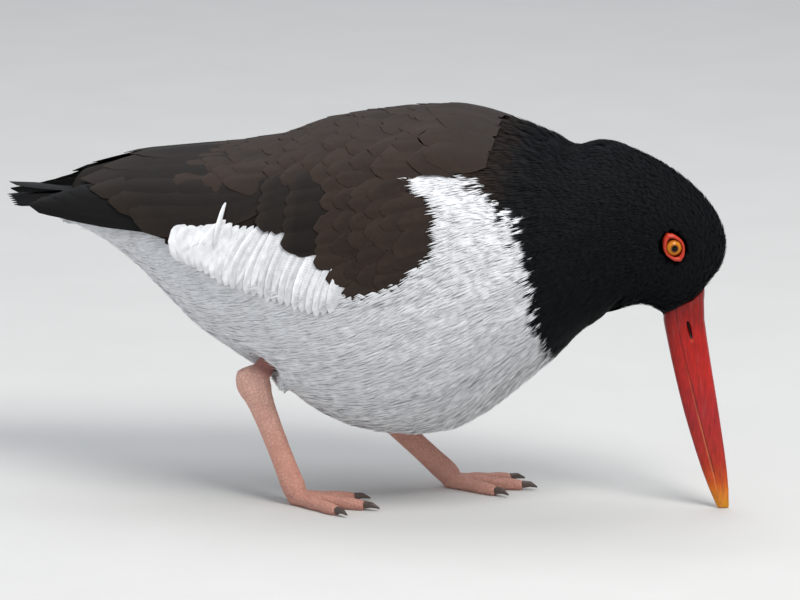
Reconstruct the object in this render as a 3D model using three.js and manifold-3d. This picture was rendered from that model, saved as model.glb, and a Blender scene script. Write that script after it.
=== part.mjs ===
// An American oystercatcher at life size, leaning forward with its bill tip on the ground.
// Millimetres, +Z up. The bird faces +X and its left side is +Y. The ground is at Z = 0.
import * as THREE from "three";
import { mergeVertices } from "three/addons/utils/BufferGeometryUtils.js";
import Module from "manifold-3d";

const wasm = await Module();
wasm.setup();

// Driving dimensions
const gap = 0.3; // left between neighbouring pieces
const ringSides = 22; // corners round a body section
const headTurn = THREE.MathUtils.degToRad(15); // to the bird's left
const turnFrom = 50; // the neck turns between these two distances along the bird
const turnTo = 100;
const hoodSection = 14; // where the black hood starts, counted in body sections
const headSection = 18.5; // where the head starts
const eye = { x: 117.6, z: 116.6, radius: 4.8, depth: 3.2 }; // depth of its middle under the head's surface
// The lids' opening and outer edge are half lengths along and across their axis, which falls towards the bill.
const lids = { tilt: 64, inner: [3.7, 3.2], outer: [5.4, 4.5], pointed: 0.25, corners: 16 };
const nostrilSlit = { at: [124.8, 5, 78.2], lean: -13, radii: [0.85, 1.6, 4.2] };
const billTop = 98;
const vaneRound = 3.4; // a higher number gives feathers a squarer tip
const tailRound = 7;
const wingReach = 21; // how much further back the left wing's tip is than the right one's
const footSpread = 24; // each foot's distance from the middle line
const tarsusGirth = { side: 3.4, fore: 4.9 };
const collar = 6; // length of the foot's own stump under the tarsus
const clawLength = 7;
// floor is the top of the undertail, where the tail lies on it.
const tailShape = { root: -116, tip: -174, height: 123.5, lift: 4, floor: 121, pairs: 6, step: 1.3, halfWidth: 5.2 };

// Body sections from the undertail to the bill base. back and belly are the ends of a section in side view,
// half is its half width, and widest the height of its widest line, as a share from the belly.
const bodySections = [
  { back: [-150, 120], belly: [-150, 115.5], half: 6, widest: 0.5 },
  { back: [-135, 124], belly: [-135, 109], half: 13, widest: 0.5 },
  { back: [-118, 131], belly: [-118, 99.5], half: 21, widest: 0.5 },
  { back: [-100, 138.5], belly: [-100, 83.5], half: 31, widest: 0.5 },
  { back: [-84, 143], belly: [-84, 69], half: 38.5, widest: 0.51 },
  { back: [-70, 147], belly: [-70, 61], half: 44, widest: 0.51 },
  { back: [-52, 154], belly: [-52, 50], half: 49.5, widest: 0.51 },
  { back: [-34, 161], belly: [-34, 37.5], half: 53.5, widest: 0.51 },
  { back: [-16, 165.3], belly: [-16, 30], half: 56, widest: 0.52 },
  { back: [4, 168.5], belly: [4, 28.3], half: 57, widest: 0.52 },
  { back: [24, 170.4], belly: [24, 30.5], half: 56, widest: 0.52 },
  { back: [42, 169], belly: [42, 41.5], half: 53, widest: 0.52 },
  { back: [54, 166], belly: [56, 53.5], half: 49.5, widest: 0.52 },
  { back: [62, 163.6], belly: [66, 62], half: 46, widest: 0.52 },
  { back: [69, 160.6], belly: [73, 69.5], half: 42, widest: 0.51 },
  { back: [76, 156.8], belly: [80, 77], half: 36.5, widest: 0.5 },
  { back: [83, 159.3], belly: [87, 81.2], half: 31.5, widest: 0.5 },
  { back: [91, 160], belly: [93, 84.8], half: 28, widest: 0.5 },
  { back: [100, 157], belly: [98.5, 87], half: 25, widest: 0.5 },
  { back: [111, 152], belly: [103.5, 87.8], half: 21.8, widest: 0.5 },
  { back: [122, 145], belly: [107, 87.2], half: 19.2, widest: 0.52 },
  { back: [131.5, 136.2], belly: [109.4, 86.3], half: 17.8, widest: 0.53 },
  { back: [138.6, 125.8], belly: [110.6, 85.3], half: 16.4, widest: 0.53 },
  { back: [141.6, 115], belly: [111.3, 84.5], half: 14.4, widest: 0.52 },
  { back: [139.3, 105], belly: [111.9, 83.7], half: 11.8, widest: 0.5 },
  { back: [134.6, 99], belly: [112.4, 82.8], half: 9.4, widest: 0.5 },
  { back: [131.8, 94], belly: [112.8, 81.6], half: 7.6, widest: 0.5 },
];

// Outline of the folded wings. It leaves the body behind the hips and carries on over the tail.
const wingOutline = {
  from: -55,
  top: [[-175, 124], [-158, 128.5], [-143, 134.5], [-115, 143], [-90, 147], [-70, 150], [-55, 153.6]],
  mid: [[-175, 120], [-158, 121.5], [-143, 121], [-115, 117], [-90, 111.5], [-70, 106], [-55, 104]],
  half: [[-175, 18], [-158, 21.5], [-143, 25.5], [-115, 34], [-90, 41.5], [-70, 46], [-55, 49]],
};

const finish = {
  black: { color: 0x0c0e10, roughness: 0.75, metalness: 0 },
  brown: { color: 0x2c231e, roughness: 0.8, metalness: 0 },
  white: { color: 0xe9eaec, roughness: 0.9, metalness: 0 },
  bill: { color: 0xb4261a, roughness: 0.4, metalness: 0 },
  ring: { color: 0xb8200f, roughness: 0.5, metalness: 0 },
  eye: { color: 0xc07a18, roughness: 0.1, metalness: 0 },
  leg: { color: 0xe6b9a8, roughness: 0.6, metalness: 0 },
  claw: { color: 0x3b2e2a, roughness: 0.5, metalness: 0 },
};

const { cos, sin, PI, hypot, max, min, abs } = Math;
const lerp = THREE.MathUtils.lerp;
const clamp = THREE.MathUtils.clamp;
const smooth = (x, a, b) => THREE.MathUtils.smoothstep(x, a, b);
const radians = THREE.MathUtils.degToRad;

// Curves and solids

// A smooth curve through [x, y] pairs that rise in x.
function curveThrough(points) {
  const last = points.length - 1;
  const slopes = points.map((p, i) => {
    const a = points[max(i - 1, 0)];
    const b = points[min(i + 1, last)];
    return (b[1] - a[1]) / (b[0] - a[0]);
  });
  return (x) => {
    let i = 0;
    while (i < last - 1 && x > points[i + 1][0]) i += 1;
    const span = points[i + 1][0] - points[i][0];
    const t = clamp((x - points[i][0]) / span, 0, 1);
    const rise = t * t * (3 - 2 * t);
    return (
      lerp(points[i][1], points[i + 1][1], rise) +
      span * t * (1 - t) * ((1 - t) * slopes[i] - t * slopes[i + 1])
    );
  };
}

// A solid from vertices and triangles, turned so that its faces point out.
function solidFrom(vertices, triangles) {
  let volume = 0;
  for (const [a, b, c] of triangles) {
    volume += vertices[a].dot(new THREE.Vector3().crossVectors(vertices[b], vertices[c]));
  }
  const facing = volume < 0 ? triangles.map(([a, b, c]) => [a, c, b]) : triangles;
  const vertProperties = new Float32Array(vertices.flatMap((v) => [v.x, v.y, v.z]));
  const triVerts = new Uint32Array(facing.flat());
  return new wasm.Manifold(new wasm.Mesh({ numProp: 3, vertProperties, triVerts }));
}

// A solid through closed rings of equally many points, with a flat end at each end.
function loft(rings) {
  const sides = rings[0].length;
  const vertices = rings.flat();
  const triangles = [];
  for (let r = 0; r + 1 < rings.length; r += 1) {
    for (let i = 0; i < sides; i += 1) {
      const a = r * sides + i;
      const b = r * sides + ((i + 1) % sides);
      triangles.push([a, b, b + sides], [a, b + sides, a + sides]);
    }
  }
  for (const r of [0, rings.length - 1]) {
    const centre = rings[r].reduce((sum, p) => sum.add(p), new THREE.Vector3()).divideScalar(sides);
    const hub = vertices.push(centre) - 1;
    for (let i = 0; i < sides; i += 1) {
      const a = r * sides + i;
      const b = r * sides + ((i + 1) % sides);
      triangles.push(r === 0 ? [hub, b, a] : [hub, a, b]);
    }
  }
  return solidFrom(vertices, triangles);
}

// A thin solid between two grids of points, split alike on both faces.
function plate(top, bottom) {
  const rows = top.length;
  const columns = top[0].length;
  const vertices = [...top.flat(), ...bottom.flat()];
  const under = rows * columns;
  const at = (i, j) => i * columns + j;
  const triangles = [];
  for (let i = 0; i + 1 < rows; i += 1) {
    for (let j = 0; j + 1 < columns; j += 1) {
      const [a, b, c, d] = [at(i, j), at(i, j + 1), at(i + 1, j + 1), at(i + 1, j)];
      triangles.push([a, b, c], [a, c, d], [under + a, under + c, under + b], [under + a, under + d, under + c]);
    }
  }
  const rim = [];
  for (let j = 0; j < columns - 1; j += 1) rim.push(at(0, j));
  for (let i = 0; i < rows - 1; i += 1) rim.push(at(i, columns - 1));
  for (let j = columns - 1; j > 0; j -= 1) rim.push(at(rows - 1, j));
  for (let i = rows - 1; i > 0; i -= 1) rim.push(at(i, 0));
  rim.forEach((a, n) => {
    const b = rim[(n + 1) % rim.length];
    triangles.push([a, under + a, under + b], [a, under + b, b]);
  });
  return solidFrom(vertices, triangles);
}

// A solid from a library shape, moved to its place.
function solidOf(geometry, matrix) {
  const bare = geometry.clone();
  bare.deleteAttribute("normal");
  bare.deleteAttribute("uv");
  const merged = mergeVertices(bare, 1e-3).applyMatrix4(matrix ?? new THREE.Matrix4());
  const position = merged.getAttribute("position");
  const vertices = Array.from({ length: position.count }, (_, i) =>
    new THREE.Vector3().fromBufferAttribute(position, i),
  );
  const index = Array.from(merged.index.array);
  const triangles = [];
  for (let i = 0; i < index.length; i += 3) triangles.push(index.slice(i, i + 3));
  return solidFrom(vertices, triangles);
}

// Joins solids and keeps the largest closed body.
function join(solids) {
  return largest(wasm.Manifold.union(solids));
}

function largest(solid) {
  return solid.decompose().reduce((best, piece) => (piece.volume() > best.volume() ? piece : best));
}

function boxBetween(low, high) {
  const size = new THREE.Vector3(...high).sub(new THREE.Vector3(...low));
  const centre = new THREE.Vector3(...low).addScaledVector(size, 0.5);
  return solidOf(new THREE.BoxGeometry(size.x, size.y, size.z), new THREE.Matrix4().setPosition(centre));
}

// The whole front of the bird turns to its left: a vertical bend that carries neck, head and bill along.
function turned(point) {
  const radius = (turnTo - turnFrom) / headTurn;
  const angle = clamp((point.x - turnFrom) / radius, 0, headTurn);
  const past = max(point.x - turnTo, 0);
  const x = min(point.x, turnFrom) + radius * sin(angle) + past * cos(headTurn);
  const y = radius * (1 - cos(angle)) + past * sin(headTurn);
  return new THREE.Vector3(x - point.y * sin(angle), y + point.y * cos(angle), point.z);
}

// Body

const sectionCurve = (pick) => curveThrough(bodySections.map((section, i) => [i, pick(section)]));
const sectionCurves = {
  backX: sectionCurve((s) => s.back[0]),
  backZ: sectionCurve((s) => s.back[1]),
  bellyX: sectionCurve((s) => s.belly[0]),
  bellyZ: sectionCurve((s) => s.belly[1]),
  half: sectionCurve((s) => s.half),
  widest: sectionCurve((s) => s.widest),
};

// A point of an egg-shaped section, at an angle from the back, raised by a height over the surface.
function onSection(back, belly, half, widest, angle, height) {
  const length = back.distanceTo(belly);
  const up = back.clone().sub(belly).divideScalar(length);
  const reach = (cos(angle) > 0 ? 1 - widest : widest) * length;
  const rise = (half * cos(angle)) / hypot(half * cos(angle), reach * sin(angle));
  const out = (reach * sin(angle)) / hypot(half * cos(angle), reach * sin(angle));
  return belly
    .clone()
    .addScaledVector(up, widest * length + reach * cos(angle) + height * rise)
    .add(new THREE.Vector3(0, half * sin(angle) + height * out, 0));
}

// The body's surface at a section number.
function bodyPoint(section, angle, height = 0) {
  const c = sectionCurves;
  const back = new THREE.Vector3(c.backX(section), 0, c.backZ(section));
  const belly = new THREE.Vector3(c.bellyX(section), 0, c.bellyZ(section));
  return onSection(back, belly, c.half(section), c.widest(section), angle, height);
}

// The section number whose line from belly to back passes through a point in side view.
function sectionThrough(x, z) {
  const c = sectionCurves;
  let low = 0;
  let high = bodySections.length - 1;
  for (let n = 0; n < 40; n += 1) {
    const s = (low + high) / 2;
    const dx = c.backX(s) - c.bellyX(s);
    const dz = c.backZ(s) - c.bellyZ(s);
    if (dz * (x - c.bellyX(s)) - dx * (z - c.bellyZ(s)) > 0) low = s;
    else high = s;
  }
  return (low + high) / 2;
}

function bodyLength(from, to, steps, height = 0) {
  const rings = [];
  for (let n = 0; n <= steps; n += 1) {
    const section = lerp(from, to, n / steps);
    rings.push(
      Array.from({ length: ringSides }, (_, i) => bodyPoint(section, (2 * PI * i) / ringSides, height)),
    );
  }
  return loft(rings);
}

const lastSection = bodySections.length - 1;
const cut = 0.02; // half of a cut between two body pieces, in sections

// Feathers

const wingCurves = {
  top: curveThrough(wingOutline.top),
  mid: curveThrough(wingOutline.mid),
  half: curveThrough(wingOutline.half),
};

// The surface that the wing and back feathers lie on: the body in front, the folded wings' own outline behind.
function coatPoint(x, angle, height) {
  const section = sectionThrough(x, 120);
  const c = sectionCurves;
  const behind = smooth(-x, -wingOutline.from - 5, -wingOutline.from + 30);
  const bodyTop = c.backZ(section);
  const bodyLow = c.bellyZ(section);
  const bodyMid = lerp(bodyLow, bodyTop, c.widest(section));
  const top = lerp(bodyTop, max(wingCurves.top(x), bodyTop), behind);
  const mid = lerp(bodyMid, wingCurves.mid(x), behind);
  const half = lerp(c.half(section), max(wingCurves.half(x), c.half(section)), behind);
  const low = 2 * mid - top;
  return onSection(
    new THREE.Vector3(x, 0, top),
    new THREE.Vector3(x, 0, abs(angle) > PI / 2 ? lerp(bodyLow, low, behind) : low),
    half,
    abs(angle) > PI / 2 ? lerp(c.widest(section), 0.5, behind) : 0.5,
    angle,
    height,
  );
}

// A feather's half width along its length, as a share of the widest: narrow root, full middle, round tip.
function vaneShape(t, roundness) {
  return (0.42 + 0.58 * smooth(t, 0, 0.4)) * Math.pow(max(1 - Math.pow(t, roundness), 0), 0.55);
}

// One feather over the coat surface. root and tip are [distance along the bird, degrees from the back].
// A thickness of "body" goes down to the body's surface.
function vane({ root, tip, width, rise, thick, side = 1, steps = 3, grow = 0 }) {
  const top = [];
  const bottom = [];
  const across = [-1, 0, 1];
  const length = abs(root[0] - tip[0]);
  for (let n = 0; n <= steps; n += 1) {
    const t = 1 - Math.pow(1 - n / steps, 1.4); // closer together near the tip
    const along = lerp(-grow / length, 1 + grow / length, t);
    const x = lerp(root[0], tip[0], along);
    const centre = lerp(root[1], tip[1], along);
    const w = (width / 2) * max(vaneShape(t, vaneRound), n === steps ? 0.36 : 0) + grow;
    const radius = coatPoint(x, radians(centre), 0).distanceTo(coatPoint(x, radians(centre + 1), 0)) * (180 / PI);
    const height = lerp(rise[0], rise[1], t) + grow;
    const floor = thick === "body" ? gap + 0.3 - (grow > 0 ? 3 : 0) : height - thick - 2 * grow;
    const tops = [];
    const bottoms = [];
    for (const v of across) {
      const angle = side * (radians(centre) + (v * w) / radius);
      const edge = abs(v) === 1 ? 0.25 : 0;
      tops.push(coatPoint(x, angle, height - edge));
      bottoms.push(coatPoint(x, angle, min(floor, height - edge - 0.5)));
    }
    top.push(tops);
    bottom.push(bottoms);
  }
  return plate(top, bottom);
}

const draw = (() => {
  let state = 20;
  return (spread) => {
    state = (state * 16807) % 2147483647;
    return spread * (state / 2147483647 - 0.5);
  };
})();

// A row of feathers across the bird, each root placed at the row's distance and spread over its angles.
function featherRow({ x, angles, count, length, width, fan = 0, lean = 0, rise, thick = "body" }) {
  return Array.from({ length: count }, (_, i) => {
    const share = count > 1 ? i / (count - 1) : 0.5;
    const angle = lerp(angles[0], angles[1], share);
    const start = x + lean * (share - 0.5) + draw(1.6);
    return {
      root: [start, angle],
      tip: [start - length + draw(2), angle + fan * (share - 0.5) * 2 + draw(1.5)],
      width: width + draw(1),
      rise,
      thick,
    };
  });
}

const mantleRows = [49, 30, 11, -8, -27].flatMap((x, row) =>
  featherRow({
    x,
    angles: row % 2 ? [-30, 30] : [-38, 38],
    count: row % 2 ? 4 : 5,
    length: 31,
    width: 23,
    fan: 2,
    rise: [1.0, 2.3],
  }),
);

const wingFeathers = {
  lesser: [31, 14].flatMap((x, row) =>
    featherRow({
      x,
      angles: row ? [50, 84] : [60, 80],
      count: 3 + row,
      length: 33,
      width: row ? 20 : 17,
      lean: -5,
      rise: [1.1, 2.3 + 0.1 * row],
    }),
  ),
  median: featherRow({ x: -6, angles: [47, 80], count: 4, length: 38, width: 23, rise: [1.2, 2.6] }),
  greater: Array.from({ length: 6 }, (_, i) => ({
    root: [-4 - 12.5 * i, 78 - 2.2 * i],
    tip: [-27 - 12.7 * i, 93 - 1.8 * i],
    width: 18,
    rise: [0.8, 1.7],
    thick: "body",
  })),
  tertials: [
    { root: [-42, 66], tip: [-92, 79], width: 21 },
    { root: [-38, 56], tip: [-108, 74], width: 22 },
    { root: [-34, 45], tip: [-126, 62], width: 22 },
    { root: [-38, 32], tip: [-134, 36], width: 22 },
    { root: [-44, 10], tip: [-122, 7], width: 28 },
  ].map((feather, i) => ({ ...feather, rise: [0.7, 1.7 + 0.25 * i], thick: 1.3, steps: 5 })),
  primaries: [
    { root: [-72, 78], tip: [-158, 76], width: 15 },
    { root: [-72, 73], tip: [-152, 66], width: 14 },
    { root: [-72, 66], tip: [-144, 55], width: 14 },
  ].map((feather, i) => ({ ...feather, rise: [0.3, 0.7 + 0.25 * i], thick: 1.1, steps: 5 })),
};

function mantle(grow = 0) {
  return mantleRows.map((feather) => vane({ ...feather, grow }));
}

// The left wing is held further back than the right one, which droops.
function wing(side) {
  const reach = side > 0 ? -wingReach : 0;
  const feathers = Object.values(wingFeathers)
    .flat()
    .map((feather) => ({
      ...feather,
      side,
      tip: [feather.tip[0] + reach * smooth(-feather.tip[0], 100, 150), feather.tip[1]],
    }));
  const half = boxBetween([-220, side > 0 ? gap : -100, 0], [60, side > 0 ? 100 : -gap, 200]);
  return join(feathers.map(vane)).intersect(half);
}

// The quills' base, which the tail coverts hide.
const tailBase = { length: 22, sides: 12, half: [11, 9], rise: [5, 1.7] };

function tail() {
  const pairs = Array.from({ length: tailShape.pairs }, (_, i) => tailShape.pairs - 1 - i);
  const feathers = pairs.flatMap((i) => [tailFeather(i, -1), tailFeather(i, 1)]);
  const base = loft(
    [0, 0.35, 0.7, 1].map((t) => {
      const x = tailShape.root - t * tailBase.length;
      return Array.from({ length: tailBase.sides }, (_, i) => {
        const a = (2 * PI * i) / tailBase.sides;
        const z = tailLine(x) - 1 + lerp(...tailBase.rise, t) * cos(a);
        return new THREE.Vector3(x, lerp(...tailBase.half, t) * sin(a), max(z, tailShape.floor + gap));
      });
    }),
  );
  return join([base, ...feathers]);
}

function tailLine(x) {
  return tailShape.height + tailShape.lift * smooth(x, tailShape.tip, tailShape.root);
}

// Tail feathers lie in steps, the middle pair on top.
function tailFeather(i, side) {
  const steps = 5;
  const across = [-1, 0, 1];
  const top = [];
  const bottom = [];
  for (let n = 0; n <= steps; n += 1) {
    const t = n / steps;
    const x = lerp(tailShape.root - 4, tailShape.tip + tailShape.step * i, t);
    const centre = side * lerp(0.8 + 0.7 * i, 1.6 + 2.25 * i, t);
    const half = tailShape.halfWidth * max(vaneShape(t, tailRound), 0.45);
    const z = tailLine(x) + 1.1 - 0.42 * i;
    top.push(across.map((v) => new THREE.Vector3(x, centre + v * half, z - 0.2 * abs(v))));
    bottom.push(across.map((v) => new THREE.Vector3(x, centre + v * half, z - 0.8)));
  }
  return plate(top, bottom);
}

// Head furniture

const billLines = {
  culmen: curveThrough([[0, 142.3], [13, 141.7], [38, 138.2], [72, 132.7], [86, 131], [98, 131.8]]),
  gape: curveThrough([[0, 139.4], [14, 136.1], [38, 129.9], [60, 124.5], [75, 120.9], [98, 117.2]]),
  chin: curveThrough([[0, 137.2], [13, 131.7], [38, 123.8], [54, 119.7], [70, 116.1], [98, 110.6]]),
  half: curveThrough([[0, 1.3], [13, 1.9], [38, 3.1], [60, 4.2], [80, 5.6], [98, 7]]),
};

// One half of the bill, from its flat inner face at the mouth line out to the culmen or the chin.
function mandible(upper) {
  const rings = [];
  const corners = 9;
  for (let n = 0; n <= 12; n += 1) {
    const z = lerp(0, billTop, n / 12);
    const mouth = billLines.gape(z) + (upper ? gap / 2 : -gap / 2);
    const edge = upper ? billLines.culmen(z) : billLines.chin(z);
    const ring = [];
    for (let i = 0; i < corners; i += 1) {
      const a = lerp(-PI / 2, PI / 2, i / (corners - 1));
      ring.push(
        new THREE.Vector3(lerp(mouth, edge, Math.pow(cos(a), 0.8)), billLines.half(z) * sin(a), z),
      );
    }
    rings.push(ring);
  }
  return loft(rings);
}

function nostril(side) {
  const slit = new THREE.SphereGeometry(1, 10, 8);
  const place = new THREE.Matrix4().compose(
    new THREE.Vector3(...nostrilSlit.at).multiply(new THREE.Vector3(1, side, 1)),
    new THREE.Quaternion().setFromEuler(new THREE.Euler(0, radians(nostrilSlit.lean), 0)),
    new THREE.Vector3(...nostrilSlit.radii),
  );
  return solidOf(slit, place);
}

// The space that the head takes above the bill base, a gap's width larger.
function headSpace() {
  const end = bodySections[lastSection];
  const dx = end.back[0] - end.belly[0];
  const dz = end.back[1] - end.belly[1];
  const place = new THREE.Matrix4().makeRotationY(-Math.atan2(dz, dx));
  place.setPosition((end.back[0] + end.belly[0]) / 2, 0, (end.back[1] + end.belly[1]) / 2 - gap);
  return solidOf(new THREE.BoxGeometry(60, 60, 40).translate(0, 0, 20), place);
}

// The eye's place on the side of the head, as a matrix whose Z axis points out of the head
// and whose X axis runs along the opening of the lids.
function eyeFrame(side) {
  const section = sectionThrough(eye.x, eye.z);
  const c = sectionCurves;
  const share =
    hypot(eye.x - c.bellyX(section), eye.z - c.bellyZ(section)) /
    hypot(c.backX(section) - c.bellyX(section), c.backZ(section) - c.bellyZ(section));
  const widest = c.widest(section);
  const angle = side * Math.acos((share - widest) / (share > widest ? 1 - widest : widest));
  const at = bodyPoint(section, angle);
  const along = bodyPoint(section + 0.2, angle).sub(bodyPoint(section - 0.2, angle));
  const round = bodyPoint(section, angle + 0.05).sub(bodyPoint(section, angle - 0.05));
  const out = new THREE.Vector3().crossVectors(along, round).normalize();
  if (out.y * side < 0) out.negate();
  const slit = new THREE.Vector3(cos(radians(lids.tilt)), 0, -sin(radians(lids.tilt)));
  slit.addScaledVector(out, -slit.dot(out)).normalize();
  const frame = new THREE.Matrix4().makeBasis(slit, new THREE.Vector3().crossVectors(out, slit), out);
  return frame.setPosition(at);
}

// Almond outline of the lids: an oval drawn out to a corner at each end.
function lidRadius(angle, [length, height]) {
  const oval = (length * height) / hypot(height * cos(angle), length * sin(angle));
  return oval + lids.pointed * length * Math.pow(abs(cos(angle)), 10);
}

function lidRing(side) {
  // Across the rim: share of the way from the inner to the outer edge, and height over the head.
  const section = [
    [0, -2.2],
    [0, 0.5],
    [0.45, 1.1],
    [1, 0.5],
    [1, -2.2],
  ];
  const frame = eyeFrame(side);
  const rings = Array.from({ length: lids.corners }, (_, i) => {
    const angle = (2 * PI * i) / lids.corners;
    return section.map(([share, height]) => {
      const r = lerp(lidRadius(angle, lids.inner), lidRadius(angle, lids.outer), share);
      return new THREE.Vector3(r * cos(angle), r * sin(angle), height).applyMatrix4(frame);
    });
  });
  return closedLoft(rings);
}

// A ring-shaped solid: the last section joins the first.
function closedLoft(rings) {
  const sides = rings[0].length;
  const vertices = rings.flat();
  const triangles = [];
  rings.forEach((_, r) => {
    const next = (r + 1) % rings.length;
    for (let i = 0; i < sides; i += 1) {
      const j = (i + 1) % sides;
      triangles.push(
        [r * sides + i, r * sides + j, next * sides + j],
        [r * sides + i, next * sides + j, next * sides + i],
      );
    }
  });
  return solidFrom(vertices, triangles);
}

// A straight-sided pocket for lids and eyeball.
function eyeSocket(side) {
  const outline = (height) =>
    Array.from({ length: lids.corners }, (_, i) => {
      const angle = (2 * PI * i) / lids.corners;
      const r = lidRadius(angle, lids.outer) + gap;
      return new THREE.Vector3(r * cos(angle), r * sin(angle), height).applyMatrix4(eyeFrame(side));
    });
  return loft([outline(-eye.depth - eye.radius - gap), outline(4)]);
}

function eyeball(side, grow = 0) {
  const place = eyeFrame(side).multiply(new THREE.Matrix4().makeTranslation(0, 0, -eye.depth));
  return solidOf(new THREE.SphereGeometry(eye.radius + grow, 14, 9), place);
}

// Legs

// A tube through stations { at, side, fore }, whose sections are ovals across the path.
function limb(stations, across, sides = 10) {
  const rings = stations.map((station, n) => {
    const before = stations[max(n - 1, 0)].at;
    const after = stations[min(n + 1, stations.length - 1)].at;
    const path = after.clone().sub(before).normalize();
    const side = across.clone().addScaledVector(path, -across.dot(path)).normalize();
    const fore = new THREE.Vector3().crossVectors(path, side);
    return Array.from({ length: sides }, (_, i) => {
      const a = (2 * PI * (i + 0.5)) / sides;
      return station.at
        .clone()
        .addScaledVector(side, station.side * cos(a))
        .addScaledVector(fore, station.fore * sin(a));
    });
  });
  return loft(rings);
}

const legs = {
  right: { ankle: [-57.5, -footSpread - 3, 52.5], foot: [-39.5, -footSpread, 5], heading: -6 },
  left: { ankle: [-25.5, footSpread, 40.5], foot: [16, footSpread, 5], heading: 6 },
};
const lateral = new THREE.Vector3(0, 1, 0);

function along(from, to, share) {
  return from.clone().lerp(to, share);
}

function tarsus(leg, grow = 0) {
  const ankle = new THREE.Vector3(...leg.ankle);
  const foot = new THREE.Vector3(...leg.foot);
  const length = ankle.distanceTo(foot);
  const { side, fore } = tarsusGirth;
  const stations = [
    [-0.13, 3.6, 4.4],
    [-0.08, 4.9, 6.3],
    [0, 5.5, 7.4],
    [0.07, 5.2, 7],
    [0.13, 4.3, 6],
    [0.22, side + 0.3, fore + 0.5],
    [0.4, side, fore],
    [0.65, side - 0.1, fore - 0.2],
    [0.82, side + 0.1, fore - 0.1],
    [(length - collar) / length, side + 0.5, fore + 0.1],
  ];
  return limb(
    stations.map(([share, s, f]) => ({ at: along(ankle, foot, share), side: s + grow, fore: f + grow })),
    lateral,
  );
}

const shankTop = new THREE.Vector3(-42, -footSpread - 5, 73);

function shankStations(stations) {
  const ankle = new THREE.Vector3(...legs.right.ankle);
  return stations.map(([share, side, fore]) => ({ at: along(ankle, shankTop, share), side, fore }));
}

function shank() {
  return limb(shankStations([[0.1, 3.6, 4.6], [0.45, 3.2, 3.8], [0.8, 3.6, 4.6]]), lateral);
}

// The hollow between flank and thigh that the bare shank comes out of.
function shankHollow(shrink = 0) {
  const outward = new THREE.Vector3(0, -8, 0);
  const stations = shankStations([[-0.5, 15, 12], [0.3, 14, 10], [0.5, 11, 7.5]]);
  return limb(
    stations.map(({ at, side, fore }) => ({ at: at.add(outward), side: side - shrink, fore: fore - shrink })),
    lateral,
    14,
  );
}

// Feathered thigh in front of the bare shank, a low swelling under the flank.
function thigh() {
  const stations = [
    [-49, 56.5, 6, 5],
    [-45, 57, 9, 8],
    [-38, 60, 12, 11.4],
    [-26, 68, 15, 15],
  ];
  return limb(
    stations.map(([x, z, side, fore]) => ({ at: new THREE.Vector3(x, -footSpread - 1, z), side, fore })),
    lateral,
    14,
  );
}

const toes = [
  { name: "inner", length: 25, spread: 31, joints: 2 },
  { name: "middle", length: 31, spread: 0, joints: 3 },
  { name: "outer", length: 27, spread: -29, joints: 3 },
];

// Middle line of a toe, from the foot's joint out along the ground.
function toePath(leg, toe, mirror, distance) {
  const angle = radians(leg.heading + mirror * toe.spread);
  const [x, y] = leg.foot;
  const height = lerp(2.8, 1.8, clamp(distance / toe.length, 0, 1));
  return new THREE.Vector3(x + distance * cos(angle), y + distance * sin(angle), height);
}

function toeSide(leg, toe, mirror) {
  const angle = radians(leg.heading + mirror * toe.spread);
  return new THREE.Vector3(-sin(angle), cos(angle), 0);
}

function foot(leg, mirror) {
  const ankle = new THREE.Vector3(...leg.ankle);
  const joint = new THREE.Vector3(...leg.foot);
  const length = ankle.distanceTo(joint);
  const { side, fore } = tarsusGirth;
  const stump = limb(
    [
      [(length - collar + gap) / length, side + 0.5, fore + 0.1],
      [0.97, side + 0.9, fore],
      [1.02, side + 0.4, fore - 0.6],
      [1.06, side - 1, fore - 2.4],
    ].map(([share, s, f]) => ({ at: along(ankle, joint, share), side: s, fore: f })),
    lateral,
  );
  const parts = toes.map((toe) => {
    const stations = [];
    const steps = 2 * toe.joints;
    for (let n = 0; n <= steps; n += 1) {
      const t = n / steps;
      const pad = n % 2 ? 0.28 : -0.12;
      const girth = lerp(3.3, 2.2, t) + pad;
      stations.push({ at: toePath(leg, toe, mirror, lerp(-2, toe.length, t)), side: girth, fore: girth * 0.95 });
    }
    return limb(stations, toeSide(leg, toe, mirror), 8);
  });
  const webEdge = [toes[1], toes[2]].map((toe) => toePath(leg, toe, mirror, 10));
  const heel = toePath(leg, toes[1], mirror, 0);
  const web = plate(
    [0.3, 1].map((share) => webEdge.map((edge) => heel.clone().lerp(edge, share).setZ(3.2))),
    [0.3, 1].map((share) => webEdge.map((edge) => heel.clone().lerp(edge, share).setZ(1.6))),
  );
  const underground = boxBetween([-200, -100, -30], [200, 100, 0]);
  return largest(join([stump, ...parts, web]).subtract(underground));
}

function claw(leg, toe, mirror) {
  const stations = [
    [0, 1.75, 1.75, 0.1],
    [0.5, 1.2, 1.35, 0.3],
    [1, 0.35, 0.4, -0.9],
  ].map(([share, side, fore, lift]) => {
    const at = toePath(leg, toe, mirror, toe.length + gap + share * clawLength);
    return { at: at.setZ(2.1 + lift), side, fore };
  });
  return limb(stations, toeSide(leg, toe, mirror), 6);
}

// Assembly

const bird = new THREE.Group();

function addNode(name, solid, look) {
  const mesh = largest(solid).getMesh();
  const vertices = [];
  for (let i = 0; i < mesh.numVert; i += 1) {
    const from = i * mesh.numProp;
    const [x, y, z] = mesh.vertProperties.subarray(from, from + 3);
    const at = turned(new THREE.Vector3(x, y, z));
    vertices.push(at.x, at.y, at.z);
  }
  const geometry = new THREE.BufferGeometry();
  geometry.setAttribute("position", new THREE.Float32BufferAttribute(vertices, 3));
  geometry.setIndex(new THREE.BufferAttribute(mesh.triVerts, 1));
  geometry.computeVertexNormals();
  const node = new THREE.Mesh(geometry, new THREE.MeshStandardMaterial(finish[look]));
  node.name = name;
  bird.add(node);
}

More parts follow.
